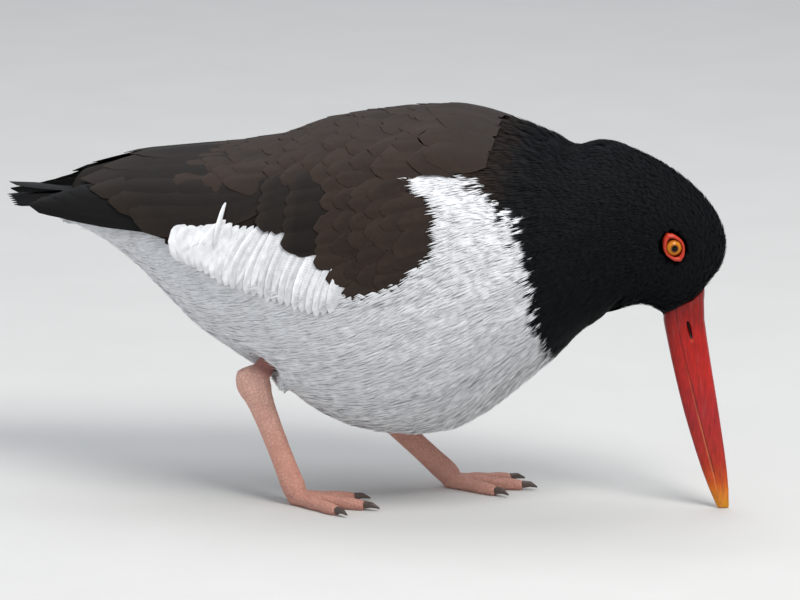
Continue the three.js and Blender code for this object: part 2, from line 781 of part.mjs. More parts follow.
const tailSpace = boxBetween([-220, -60, tailShape.floor], [tailShape.root + gap, 60, 160]);
const bodySpace = bodyLength(0, hoodSection - cut, 18, gap + 0.1);
const legSpace = bodySpace.subtract(shankHollow(gap));
const torso = bodyLength(0, hoodSection - cut, 18).add(thigh()).subtract(shankHollow()).subtract(tailSpace);
const neck = bodyLength(hoodSection + cut, headSection - cut, 7);
const sockets = wasm.Manifold.union([eyeSocket(1), eyeSocket(-1)]);
const head = bodyLength(headSection + cut, lastSection, 12).subtract(sockets);

addNode("torso", torso, "white");
addNode("neck", neck, "black");
addNode("head", head, "black");
addNode("mantle", join(mantle()), "brown");
addNode("tail", tail(), "black");

const backSpace = wasm.Manifold.union(mantle(gap + 0.05));
const headReach = headSpace();
const nostrils = wasm.Manifold.union([nostril(1), nostril(-1)]);
addNode("bill_upper", mandible(true).subtract(headReach).subtract(nostrils), "bill");
addNode("bill_lower", mandible(false).subtract(headReach), "bill");

addNode("shank_right", shank().subtract(tarsus(legs.right, gap)).subtract(legSpace), "leg");

for (const [name, side] of [["right", -1], ["left", 1]]) {
  addNode(`wing_${name}`, wing(side).subtract(backSpace).subtract(bodySpace), "brown");
  addNode(`eye_${name}`, eyeball(side), "eye");
  addNode(`eye_ring_${name}`, lidRing(side).subtract(eyeball(side, gap)), "ring");
  const leg = legs[name];
  addNode(`tarsus_${name}`, tarsus(leg).subtract(legSpace), "leg");
  addNode(`foot_${name}`, foot(leg, side > 0 ? -1 : 1), "leg");
  for (const toe of toes) {
    addNode(`claw_${name}_${toe.name}`, claw(leg, toe, side > 0 ? -1 : 1), "claw");
  }
}

// The origin is on the ground, under the middle of the whole bird.
const extent = new THREE.Box3().setFromObject(bird);
const middle = extent.getCenter(new THREE.Vector3());
bird.position.set(-middle.x, -middle.y, -extent.min.z);

export default bird;
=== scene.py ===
# Looks of a life-size oystercatcher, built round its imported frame.
# Lengths are worked out in millimetres and turned into metres when a mesh is made.
import math
import bmesh
import bpy
import numpy as np
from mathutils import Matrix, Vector
from mathutils.bvhtree import BVHTree


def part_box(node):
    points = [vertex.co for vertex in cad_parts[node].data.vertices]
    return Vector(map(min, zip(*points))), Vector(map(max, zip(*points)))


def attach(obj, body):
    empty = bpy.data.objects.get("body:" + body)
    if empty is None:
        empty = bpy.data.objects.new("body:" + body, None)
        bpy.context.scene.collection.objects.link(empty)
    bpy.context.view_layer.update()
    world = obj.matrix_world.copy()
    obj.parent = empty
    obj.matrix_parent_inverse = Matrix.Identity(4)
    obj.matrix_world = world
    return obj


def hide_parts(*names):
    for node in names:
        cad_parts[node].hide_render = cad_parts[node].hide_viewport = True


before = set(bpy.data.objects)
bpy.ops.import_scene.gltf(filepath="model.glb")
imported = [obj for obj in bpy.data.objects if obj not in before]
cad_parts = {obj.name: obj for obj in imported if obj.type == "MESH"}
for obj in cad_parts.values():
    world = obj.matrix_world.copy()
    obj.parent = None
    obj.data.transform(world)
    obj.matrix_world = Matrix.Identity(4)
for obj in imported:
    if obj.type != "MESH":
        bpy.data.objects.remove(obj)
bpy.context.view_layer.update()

mm = 0.001
draw = np.random.default_rng(41)

# The CAD frame's origin is under the middle of the whole bird. These places count from the breast's middle.
bodyBack = 150  # the torso's rear end, behind that middle
shift = np.array([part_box("torso")[0].x / mm + bodyBack, 0, 0])
headTurn = {"angle": math.radians(15), "start": 50, "end": 100}

tones = {
    "white": (0.79, 0.80, 0.82),
    "black": (0.0045, 0.0056, 0.0068),
    "brown": (0.0265, 0.0172, 0.0128),
    "dark": (0.0125, 0.0088, 0.0070),
    "jet": (0.0040, 0.0038, 0.0040),
}


def report(stage):
    print("stage:", stage)


# Shapes: curves and turned places

def curve(x, points):
    xs, ys = zip(*points)
    return np.interp(x, xs, ys)


def blend(a, b, share):
    share = np.clip(share, 0, 1)[..., None]
    return np.asarray(a) * (1 - share) + np.asarray(b) * share


def unit(v):
    return v / np.maximum(np.linalg.norm(v, axis=-1, keepdims=True), 1e-9)


def turned(points):
    # From straight-necked places to places in the frame.
    points = np.asarray(points, float)
    radius = (headTurn["end"] - headTurn["start"]) / headTurn["angle"]
    angle = np.clip((points[..., 0] - headTurn["start"]) / radius, 0, headTurn["angle"])
    past = np.maximum(points[..., 0] - headTurn["end"], 0)
    x = np.minimum(points[..., 0], headTurn["start"]) + radius * np.sin(angle)
    x = x + past * math.cos(headTurn["angle"])
    y = radius * (1 - np.cos(angle)) + past * math.sin(headTurn["angle"])
    side = points[..., 1]
    return np.stack([x - side * np.sin(angle), y + side * np.cos(angle), points[..., 2]], -1) + shift


def straightened(points):
    # The way back, for markings that are the same on both sides of the neck.
    p = np.asarray(points, float) - shift
    radius = (headTurn["end"] - headTurn["start"]) / headTurn["angle"]
    dx = p[..., 0] - headTurn["start"]
    dy = radius - p[..., 1]
    angle = np.arctan2(dx, dy)
    bent = np.stack([headTurn["start"] + radius * angle, radius - np.hypot(dx, dy), p[..., 2]], -1)
    turn = headTurn["angle"]
    endX = headTurn["start"] + radius * math.sin(turn)
    endY = radius * (1 - math.cos(turn))
    ahead = (p[..., 0] - endX) * math.cos(turn) + (p[..., 1] - endY) * math.sin(turn)
    aside = (p[..., 1] - endY) * math.cos(turn) - (p[..., 0] - endX) * math.sin(turn)
    past = np.stack([headTurn["end"] + ahead, aside, p[..., 2]], -1)
    chosen = np.where((angle > turn)[..., None], past, bent)
    return np.where((dx < 0)[..., None], p, chosen)


# The middle line of the flesh, from the tail to the bill, that feathers lie back along.
spineLine = [
    (-160, 121), (-120, 115), (-80, 108), (-40, 103), (0, 101), (35, 106), (60, 112),
    (80, 117.5), (98, 120.5), (110, 119.5), (118, 114), (122, 105), (122.5, 95), (122.5, 84),
]


class Spine:
    def __init__(self):
        xs, zs = map(np.array, zip(*spineLine))
        run = np.concatenate([[0], np.cumsum(np.hypot(np.diff(xs), np.diff(zs)))])
        self.at = np.linspace(0, run[-1], 160)
        straight = np.stack([np.interp(self.at, run, xs), 0 * self.at, np.interp(self.at, run, zs)], -1)
        kernel = np.ones(9) / 9
        for axis in (0, 2):
            padded = np.pad(straight[:, axis], 4, mode="edge")
            straight[:, axis] = np.convolve(padded, kernel, "valid")
        self.points = turned(straight)
        self.tangents = unit(np.gradient(self.points, axis=0))
        self.length = run[-1]

    def nearest(self, points):
        found = np.empty(len(points), int)
        for start in range(0, len(points), 4000):
            part = points[start:start + 4000]
            gaps = ((part[:, None, :] - self.points[None]) ** 2).sum(-1)
            found[start:start + 4000] = gaps.argmin(1)
        return found

    def place(self, points):
        # Distance along the spine and angle round it, both from 0 to 1: an unwrap of the skin.
        i = self.nearest(points)
        tangent = self.tangents[i]
        left = unit(np.cross(np.array([0, 0, 1.0]), tangent))
        up = np.cross(tangent, left)
        out = points - self.points[i]
        angle = np.arctan2((out * left).sum(-1), (out * up).sum(-1))
        ahead = (out * tangent).sum(-1)
        along = (self.at[i] + np.where((i == 0) | (i == len(self.at) - 1), ahead, 0)) / self.length
        return np.stack([0.02 + 0.96 * (angle / (2 * math.pi) + 0.5), 0.05 + 0.85 * along], -1)


spine = Spine()


# Meshes

def linked(name, data):
    piece = bpy.data.objects.new(name, data)
    bpy.context.scene.collection.objects.link(piece)
    return piece


def gridMesh(name, points, quads, material, triangles=np.zeros((0, 3), int)):
    # A fast build for large joined meshes of quads and triangles.
    mesh = bpy.data.meshes.new(name)
    mesh.vertices.add(len(points))
    mesh.vertices.foreach_set("co", (points * mm).astype(np.float32).ravel())
    loops = np.concatenate([quads.ravel(), triangles.ravel()])
    sizes = np.concatenate([np.full(len(quads), 4), np.full(len(triangles), 3)])
    mesh.loops.add(len(loops))
    mesh.loops.foreach_set("vertex_index", loops.astype(np.int32))
    mesh.polygons.add(len(sizes))
    starts = np.concatenate([[0], np.cumsum(sizes)[:-1]])
    mesh.polygons.foreach_set("loop_start", starts.astype(np.int32))
    mesh.update(calc_edges=True)
    mesh.polygons.foreach_set("use_smooth", np.ones(len(sizes), bool))
    mesh.materials.append(material)
    return linked(name, mesh)


def painted(piece, material):
    piece.data.materials.clear()
    piece.data.materials.append(material)


def vertexUv(piece, name, values):
    mesh = piece.data
    layer = mesh.uv_layers.new(name=name)
    corners = np.empty(len(mesh.loops), np.int32)
    mesh.loops.foreach_get("vertex_index", corners)
    layer.data.foreach_set("uv", values[corners].astype(np.float32).ravel())


def vertexTint(piece, values):
    layer = piece.data.color_attributes.new("tint", "FLOAT_COLOR", "POINT")
    colours = np.concatenate([values, np.ones((len(values), 1))], 1)
    layer.data.foreach_set("color", colours.astype(np.float32).ravel())


def softShade(piece, normals):
    # Small feathers are shaded much as the smooth form that they lie on.
    piece.data.normals_split_custom_set_from_vertices(unit(normals).astype(np.float32))


def vertexPlaces(piece):
    places = np.empty(len(piece.data.vertices) * 3)
    piece.data.vertices.foreach_get("co", places)
    return places.reshape(-1, 3) / mm


def fused(name, nodes, voxel, rounds, depth=0.0):
    # One smooth closed surface round copies of some CAD nodes, moved in by a depth.
    shell = bmesh.new()
    for node in nodes:
        shell.from_mesh(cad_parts[node].data)
    mesh = bpy.data.meshes.new(name)
    shell.to_mesh(mesh)
    shell.free()
    piece = linked(name, mesh)
    voxels = piece.modifiers.new("voxels", "REMESH")
    voxels.mode = "VOXEL"
    voxels.voxel_size = voxel * mm
    smoothing = piece.modifiers.new("smoothing", "SMOOTH")
    smoothing.factor = 0.5
    smoothing.iterations = rounds
    bpy.context.view_layer.update()
    made = bpy.data.meshes.new_from_object(piece.evaluated_get(bpy.context.evaluated_depsgraph_get()))
    piece.modifiers.clear()
    piece.data = made
    bpy.data.meshes.remove(mesh)
    made.name = name
    keepLargest(made)
    if depth:
        made.update()
        normals = np.empty(len(made.vertices) * 3)
        made.vertex_normals.foreach_get("vector", normals)
        places = vertexPlaces(piece) - depth * normals.reshape(-1, 3)
        made.vertices.foreach_set("co", (places * mm).ravel())
    made.polygons.foreach_set("use_smooth", np.ones(len(made.polygons), bool))
    made.update()
    return piece


def keepLargest(mesh):
    # Drops the inner walls that a remesh leaves between two close solids.
    work = bmesh.new()
    work.from_mesh(mesh)
    seen = set()
    groups = []
    for vertex in work.verts:
        if vertex in seen:
            continue
        seen.add(vertex)
        group = [vertex]
        for member in group:
            for edge in member.link_edges:
                other = edge.other_vert(member)
                if other not in seen:
                    seen.add(other)
                    group.append(other)
        groups.append(group)
    groups.sort(key=len)
    for group in groups[:-1]:
        bmesh.ops.delete(work, geom=group, context="VERTS")
    work.to_mesh(mesh)
    work.free()


class Surface:
    # Quick nearest and ray tests on a piece's mesh, in millimetres.
    def __init__(self, piece):
        faces = [tuple(p.vertices) for p in piece.data.polygons]
        self.tree = BVHTree.FromPolygons([tuple(v) for v in vertexPlaces(piece)], faces)

    def nearest(self, points):
        places = np.empty((len(points), 3))
        normals = np.empty((len(points), 3))
        for i, p in enumerate(points):
            at, normal, _, _ = self.tree.find_nearest(Vector(p))
            places[i] = at
            normals[i] = normal
        return places, normals

    def reach(self, origin, direction, far=260):
        # Distance from an inner point out to the outermost surface.
        start = Vector(origin) + Vector(direction) * far
        hit = self.tree.ray_cast(start, -Vector(direction), far)
        return np.nan if hit[0] is None else far - hit[3]


# Markings with a little painted shade: the same rule colours the skin and every small feather's root.

coatBorders = {
    "hood": [(60, 74), (75, 71), (93, 68.5), (113, 67.5),
             (135, 62.5), (144.5, 56), (148.7, 50), (152.3, 40)],
    "back": [(-70, 134), (-30, 148), (10, 151.5), (38, 152.5), (53, 145), (62, 134)],
    "hoodFrom": 38,
    "backTo": 70,
    "darkening": (49, 15),  # where the brown begins to turn black, and over which length
    "paintedLowShade": (60, 80, 0.05),  # painted shade: the white is a little darker low down: from which height, over which length, by how much
}


def markingsAndShade(points, ragged=0.0):
    p = straightened(points)
    noise = draw.normal(0, ragged, len(p)) if ragged else 0
    x = p[:, 0] + noise
    z = p[:, 2] + noise
    hood = curve(z, coatBorders["hood"])
    backLine = curve(x, coatBorders["back"])
    tint = blend(tones["white"], tones["brown"], (z > backLine).astype(float))
    # Painted shade: the lower the white lies, the darker it is made, as if lit from above.
    low, span, share = coatBorders["paintedLowShade"]
    raised = np.clip((p[:, 2] - low) / span, 0, 1)
    tint = np.where((z <= backLine)[:, None], tint * (1 - share + share * raised[:, None]), tint)
    start, length = coatBorders["darkening"]
    front = blend(tones["brown"], tones["black"], (x - start) / length)
    tint = np.where(((z > backLine) & (x <= coatBorders["backTo"]))[:, None], front, tint)
    return np.where(((x > hood) & (x > coatBorders["hoodFrom"]))[:, None], front, tint)


# Materials

class Value:
    # Wraps a socket so that sums on it add Math nodes.
    def __init__(self, shader, socket):
        self.shader = shader
        self.socket = socket

    def __add__(self, other):
        return self.shader.sum("ADD", self, other)

    def __sub__(self, other):
        return self.shader.sum("SUBTRACT", self, other)

    def __rsub__(self, other):
        return self.shader.sum("SUBTRACT", other, self)

    def __mul__(self, other):
        return self.shader.sum("MULTIPLY", self, other)

    __radd__ = __add__
    __rmul__ = __mul__


class Shader:
    def __init__(self, name, **fixed):
        self.material = bpy.data.materials.new(name)
        self.material.use_nodes = True
        self.tree = self.material.node_tree
        self.surface = self.tree.nodes["Principled BSDF"]
        for socket, value in fixed.items():
            self.surface.inputs[socket.replace("_", " ")].default_value = value

    def node(self, kind, settings=None, output=0, **values):
        made = self.tree.nodes.new("ShaderNode" + kind)
        for key, value in (settings or {}).items():
            if key == "stops":
                while len(made.color_ramp.elements) < len(value):
                    made.color_ramp.elements.new(0.5)
                for element, (position, colour) in zip(made.color_ramp.elements, value):
                    element.position = position
                    element.color = (*colour, 1) if len(colour) == 3 else colour
            else:
                setattr(made, key, value)
        for key, value in values.items():
            numbered = key[0] == "i" and key[1:].isdigit()  # i0 is the first socket
            self.feed(made.inputs[int(key[1:]) if numbered else key], value)
        return Value(self, made.outputs[output])

    def feed(self, socket, value):
        if isinstance(value, Value):
            self.tree.links.new(value.socket, socket)
        else:
            socket.default_value = value

    def sum(self, operation, a, b):
        return self.node("Math", {"operation": operation}, i0=a, i1=b)

    def clamped(self, value, low, high):
        return self.node("MapRange", None, i0=value, i1=low, i2=high)

    def mix(self, share, a, b, how="MIX"):
        settings = {"data_type": "RGBA", "blend_type": how}
        pair = [v if isinstance(v, Value) else (*v, 1) for v in (a, b)]
        return self.node("Mix", settings, output=2, i0=share, i6=pair[0], i7=pair[1])

    def place(self, scale=1.0):
        # The place on the bird in millimetres times a scale.
        coordinates = self.node("TexCoord", None, output=3)
        return self.node("VectorMath", {"operation": "SCALE"}, i0=coordinates, Scale=1000.0 * scale)

    def noise(self, vector, scale, detail=3.0):
        return self.node("TexNoise", None, Vector=vector, Scale=scale, Detail=detail)

    def tint(self):
        return self.node("Attribute", {"attribute_name": "tint"})

    def shaded(self, colour, noise, dark, light):
        # The colour a little darker and lighter over a noise.
        stops = [(0.3, (dark,) * 3), (0.7, (light,) * 3)]
        return self.mix(1.0, colour, self.node("ValToRGB", {"stops": stops}, Fac=noise), "MULTIPLY")

    def bump(self, height, distance, strength=1.0):
        bumped = self.node("Bump", None, Strength=strength, Distance=distance * mm, Height=height)
        self.feed(self.surface.inputs["Normal"], bumped)

    def paint(self, **links):
        for socket, value in links.items():
            self.feed(self.surface.inputs[socket.replace("_", " ")], value)
        return self.material


tuftLook = {"specular": 0.10, "streaks": 0.22, "fluff": 2.4, "relief": 0.12, "roughness": 0.55}


def plumageMaterial():
    shader = Shader("plumage", Specular_IOR_Level=tuftLook["specular"])
    place = shader.place()
    streak = shader.noise(place, tuftLook["streaks"], 4.0)
    tone = shader.shaded(shader.tint(), streak, 0.86, 1.06)
    shader.bump(shader.noise(place, tuftLook["fluff"], 2.0), tuftLook["relief"], 0.5)
    rough = shader.clamped(streak, -1.0, 1.6) * 0.3 + tuftLook["roughness"]
    return shader.paint(Base_Color=tone, Roughness=rough)


vaneLook = {"specular": 0.16, "barbs": 7.0, "slant": 5.5, "patches": 0.35, "relief": 0.1, "roughness": 0.45}


def vaneMaterial():
    shader = Shader("vanes", Specular_IOR_Level=vaneLook["specular"])
    barbs = shader.node("SeparateXYZ", None, i0=shader.node("UVMap", {"uv_map": "barbs"}))
    across = Value(shader, barbs.socket.node.outputs[0])
    along = Value(shader, barbs.socket.node.outputs[1])
    slope = shader.node("Math", {"operation": "ABSOLUTE"}, i0=across)
    wave = along * vaneLook["barbs"] - slope * vaneLook["slant"]
    lines = shader.node("Math", {"operation": "SINE"}, i0=wave)
    patch = shader.noise(shader.place(), vaneLook["patches"], 3.0)
    tone = shader.shaded(shader.tint(), patch, 0.90, 1.08)
    fine = shader.mix(lines * 0.04 + 0.04, tone, (0.0, 0.0, 0.0))
    shader.bump(lines * 0.25 + patch * 0.6, vaneLook["relief"], 0.5)
    rough = shader.clamped(patch, 0.0, 1.0) * 0.25 + vaneLook["roughness"]
    return shader.paint(Base_Color=fine, Roughness=rough)


hornLook = {
    "specular": 0.28, "coat": 0.05, "coatRoughness": 0.3, "stretch": 0.16, "growth": 1.1,
    "bloom": (0.60, 0.20, 0.18),
}


def billMaterial():
    shader = Shader("bill horn", Specular_IOR_Level=hornLook["specular"],
                    Coat_Roughness=hornLook["coatRoughness"], Coat_Weight=hornLook["coat"])
    stretched = shader.node("Mapping", None, Vector=shader.place(), Scale=(1.0, 1.0, hornLook["stretch"]))
    growth = shader.noise(stretched, hornLook["growth"], 5.0)
    shade = shader.shaded(shader.tint(), growth, 0.72, 1.18)
    bloom = shader.clamped(shader.noise(stretched, 0.5, 2.0), 0.56, 0.8)
    pale = shader.mix(bloom * 0.10, shade, hornLook["bloom"])
    shader.bump(growth, 0.10, 0.35)
    return shader.paint(Base_Color=pale, Roughness=growth * 0.25 + 0.26)


irisLook = {
    "specular": 0.12, "coat": 0.1, "coatRoughness": 0.02,
    "rings": [  # from the middle of the pupil out, where 1 is 5 mm
        (0.0, (0.002, 0.0015, 0.0015)), (0.245, (0.002, 0.0015, 0.0015)), (0.29, (0.22, 0.060, 0.006)),
        (0.46, (0.56, 0.21, 0.016)), (0.62, (0.44, 0.11, 0.008)), (0.70, (0.06, 0.010, 0.003)),
    ],
}


def eyeMaterial(name, centre, gaze):
    # The pupil and iris are rings round the direction of gaze.
    shader = Shader(name, Specular_IOR_Level=irisLook["specular"], Coat_Roughness=irisLook["coatRoughness"],
                    Coat_Weight=irisLook["coat"])
    place = shader.place()
    out = shader.node("VectorMath", {"operation": "SUBTRACT"}, i0=place, i1=tuple(centre))
    axial = shader.node("VectorMath", {"operation": "DOT_PRODUCT"}, output=1, i0=out, i1=tuple(gaze))
    along = shader.node("VectorMath", {"operation": "SCALE"}, i0=tuple(gaze), Scale=axial)
    spread = shader.node("VectorMath", {"operation": "SUBTRACT"}, i0=out, i1=along)
    radius = shader.node("VectorMath", {"operation": "LENGTH"}, output=1, i0=spread)
    rays = shader.noise(shader.node("VectorMath", {"operation": "NORMALIZE"}, i0=spread), 9.0, 4.0)
    level = (radius + (rays - 0.5) * 0.5) * 0.2
    colour = shader.node("ValToRGB", {"stops": irisLook["rings"]}, Fac=level)
    return shader.paint(Base_Color=colour, Roughness=rays * 0.02 + 0.05)


lidLook = {"specular": 0.45, "grain": 1.6, "deep": (0.34, 0.014, 0.004), "bright": (0.58, 0.038, 0.009)}


def lidMaterial():
    shader = Shader("orbital ring", Specular_IOR_Level=lidLook["specular"])
    grain = shader.noise(shader.place(), lidLook["grain"], 4.0)
    colour = shader.mix(grain, lidLook["deep"], lidLook["bright"])
    shader.bump(grain, 0.18, 0.7)
    return shader.paint(Base_Color=colour, Roughness=grain * 0.3 + 0.3)


legLook = {
    "specular": 0.4, "softness": 0.08, "depth": (0.002, 0.0008, 0.0005), "scutes": 0.62,
    "blotch": (0.46, 0.19, 0.15), "groove": (0.30, 0.13, 0.10),
}


def legMaterial():
    shader = Shader("leg skin", Specular_IOR_Level=legLook["specular"],
                    Subsurface_Weight=legLook["softness"])
    shader.surface.inputs["Subsurface Radius"].default_value = legLook["depth"]
    place = shader.place()
    scutes = shader.node("TexVoronoi", {"feature": "DISTANCE_TO_EDGE"}, Vector=place,
                         Scale=legLook["scutes"])
    groove = shader.clamped(scutes, 0.0, 0.12)
    blotch = shader.noise(place, 0.18, 4.0)
    mottled = shader.mix(shader.clamped(blotch, 0.45, 0.75) * 0.4, shader.tint(), legLook["blotch"])
    colour = shader.mix((1 - groove) * 0.28, mottled, legLook["groove"])
    shader.bump(groove + shader.noise(place, 1.3, 3.0) * 0.5, 0.22, 0.8)
    return shader.paint(Base_Color=colour, Roughness=blotch * 0.25 + 0.42)


clawLook = {"specular": 0.5, "dark": (0.030, 0.020, 0.016), "light": (0.11, 0.075, 0.06)}


def clawMaterial():
    shader = Shader("claw horn", Specular_IOR_Level=clawLook["specular"])
    grain = shader.noise(shader.place(), 0.9, 3.0)
    colour = shader.mix(grain, clawLook["dark"], clawLook["light"])
    return shader.paint(Base_Color=colour, Roughness=grain * 0.3 + 0.25)


floorLook = {"roughness": 0.9, "dark": (0.56, 0.555, 0.54), "light": (0.60, 0.595, 0.58)}


def floorMaterial():
    shader = Shader("floor", Roughness=floorLook["roughness"])
    grain = shader.noise(shader.place(), 0.02, 2.0)
    return shader.paint(Base_Color=shader.mix(grain, floorLook["dark"], floorLook["light"]))


plumage = plumageMaterial()
vanes = vaneMaterial()
report("materials")


# Skin under all body feathers

skinShape = {"voxel": 1.5, "smoothing": 6, "depth": 1.5, "shade": 0.94}


def buildSkin():
    flesh = ["torso", "neck", "head"]
    piece = fused("skin", flesh, skinShape["voxel"], skinShape["smoothing"], skinShape["depth"])
    # Painted shade: the skin is a little darker than the feathers, as it lies in their shade.
    vertexTint(piece, markingsAndShade(vertexPlaces(piece)) * skinShape["shade"])
    painted(piece, plumage)
    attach(piece, "root")
    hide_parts("torso", "neck", "head")
    return piece


skin = buildSkin()
skinSurface = Surface(skin)
report("skin %d faces" % len(skin.data.polygons))


# A smoothed shell round body, back and wings, which the large feathers lie on. It isn't shown.
bedPiece = fused("bed", ["torso", "mantle", "wing_left", "wing_right", "neck"], 2.0, 4)
bedSurface = Surface(bedPiece)


# Outline of the folded wings behind the hips: middle height, half width and rise over the middle.
foldedWings = {
    "mid": [(-175, 120), (-158, 121.5), (-143, 121), (-115, 117), (-90, 111.5), (-70, 106), (-55, 104)],
    "half": [(-175, 19), (-158, 22.5), (-143, 26.5), (-115, 35), (-90, 42.8), (-70, 47.5), (-55, 51)],
    "rise": [(-175, 5), (-158, 8), (-143, 14.7), (-115, 27.5), (-90, 37), (-70, 45.5), (-55, 51)],
}


# Edges of the feathers that cover the back and the folded wings, in degrees from the back.
coverEdges = {
    "mantleFront": 46,
    "mantleSide": 43,
    "wingFront": [(43, 6), (58, 27), (71, 31), (81, 25), (89, 14), (93, -9)],
    "wingLow": [(-150, 66), (-130, 76), (-100, 88), (-60, 94), (-9, 95), (40, 95)],
}


def underCover(x, angle, margin=0.0):
    # True where back or wing feathers lie over a place on the bed.
    degrees = np.abs(angle) + margin
    mantle = (degrees < coverEdges["mantleSide"]) & (x < coverEdges["mantleFront"] - margin)
    front = curve(degrees, coverEdges["wingFront"]) - margin
    return mantle | (degrees < curve(x, coverEdges["wingLow"])) & (x < front)


bedMap = {
    "from": -172, "to": 63, "step": 2.0, "turn": 126, "turnStep": 3.0,
    "mid": [(-175, 120), (-143, 121), (-115, 117), (-90, 111.5), (-70, 106), (-55, 104), (62, 104)],
    "hips": (42, 22),  # this far back, over this length, the outline of the folded wings takes over
}


class Bed:
    # Radial map of the shell over distance along the bird and angle from the back.
    def __init__(self):
        self.x = np.arange(bedMap["from"], bedMap["to"], bedMap["step"])
        self.angles = np.radians(np.arange(-bedMap["turn"], bedMap["turn"] + 1, bedMap["turnStep"]))
        self.mid = curve(self.x, bedMap["mid"])
        self.half = self.measure(lambda i: (self.x[i], 0, self.mid[i]), (0, 1, 0))
        self.rise = self.measure(lambda i: (self.x[i], 0, self.mid[i]), (0, 0, 1))
        self.extra = np.zeros((len(self.x), len(self.angles)))
        for i in range(len(self.x)):
            for j, angle in enumerate(self.angles):
                across, up = self.half[i] * math.sin(angle), self.rise[i] * math.cos(angle)
                length = math.hypot(across, up)
                origin = np.array([self.x[i], 0, self.mid[i]]) + shift
                found = bedSurface.reach(origin, (0, across / length, up / length))
                self.extra[i, j] = found / length if found == found and found > 3 else np.nan
        self.fill()
        behind = np.clip((-self.x - bedMap["hips"][0]) / bedMap["hips"][1], 0, 1)
        behind = behind * behind * (3 - 2 * behind)
        for key in ("mid", "half", "rise"):
            own = curve(self.x, foldedWings[key])
            setattr(self, key, getattr(self, key) * (1 - behind) + own * behind)
        self.extra = self.extra * (1 - behind[:, None]) + behind[:, None]

    def across(self, x):
        # Half width, rise over the middle and height of the middle.
        return [np.interp(x, self.x, v) for v in (self.half, self.rise, self.mid)]

    def anglesAt(self, points):
        # Degrees from the back at which places near the bed lie.
        p = points - shift
        half, rise, mid = self.across(p[:, 0])
        return np.degrees(np.arctan2(np.abs(p[:, 1]) / half, (p[:, 2] - mid) / rise))

    def measure(self, origin, direction):
        # The wings' own reach, the same on both sides, smoothed along the bird.
        found = []
        for i in range(len(self.x)):
            start = np.array(origin(i)) + shift
            sides = [bedSurface.reach(start, (0, s * direction[1], direction[2])) for s in (1, -1)]
            sides = [v for v in sides if v == v]
            found.append(np.mean(sides) if sides else np.nan)
        found = np.array(found)
        known = ~np.isnan(found)
        found = np.interp(self.x, self.x[known], found[known])
        return np.convolve(np.pad(found, 4, mode="edge"), np.ones(9) / 9, "valid")

    def fill(self):
        # Empty places take the mean of their row, then the map is smoothed.
        grid = self.extra
        for i in range(len(grid)):
            known = ~np.isnan(grid[i])
            grid[i] = np.interp(self.angles, self.angles[known], grid[i][known]) if known.any() else 1.0
        grid[:] = np.clip(grid, 0.8, 1.25)
        for _ in range(3):
            padded = np.pad(grid, 1, mode="edge")
            around = padded[:-2, 1:-1] + padded[2:, 1:-1] + padded[1:-1, :-2] + padded[1:-1, 2:]
            grid[:] = (around + 2 * grid) / 6

    def point(self, x, angle, height):
        i = np.clip((x - self.x[0]) / bedMap["step"], 0, len(self.x) - 1.001)
        j = np.clip((angle - self.angles[0]) / math.radians(bedMap["turnStep"]), 0, len(self.angles) - 1.001)
        a, b = i.astype(int), j.astype(int)
        s, t = i - a, j - b
        g = self.extra
        near = g[a, b] * (1 - t) + g[a, b + 1] * t
        far = g[a + 1, b] * (1 - t) + g[a + 1, b + 1] * t
        share = near * (1 - s) + far * s
        half, rise, mid = self.across(x)
        out = np.stack([0 * x, np.sin(angle) / half, np.cos(angle) / rise], -1)
        place = np.stack([x, half * np.sin(angle) * share, mid + rise * np.cos(angle) * share], -1)
        return place + unit(out) * height[..., None]


bed = Bed()
report("feather bed")


# Large feathers: solid vanes with a shaft, a rounded or pointed end and frayed edges

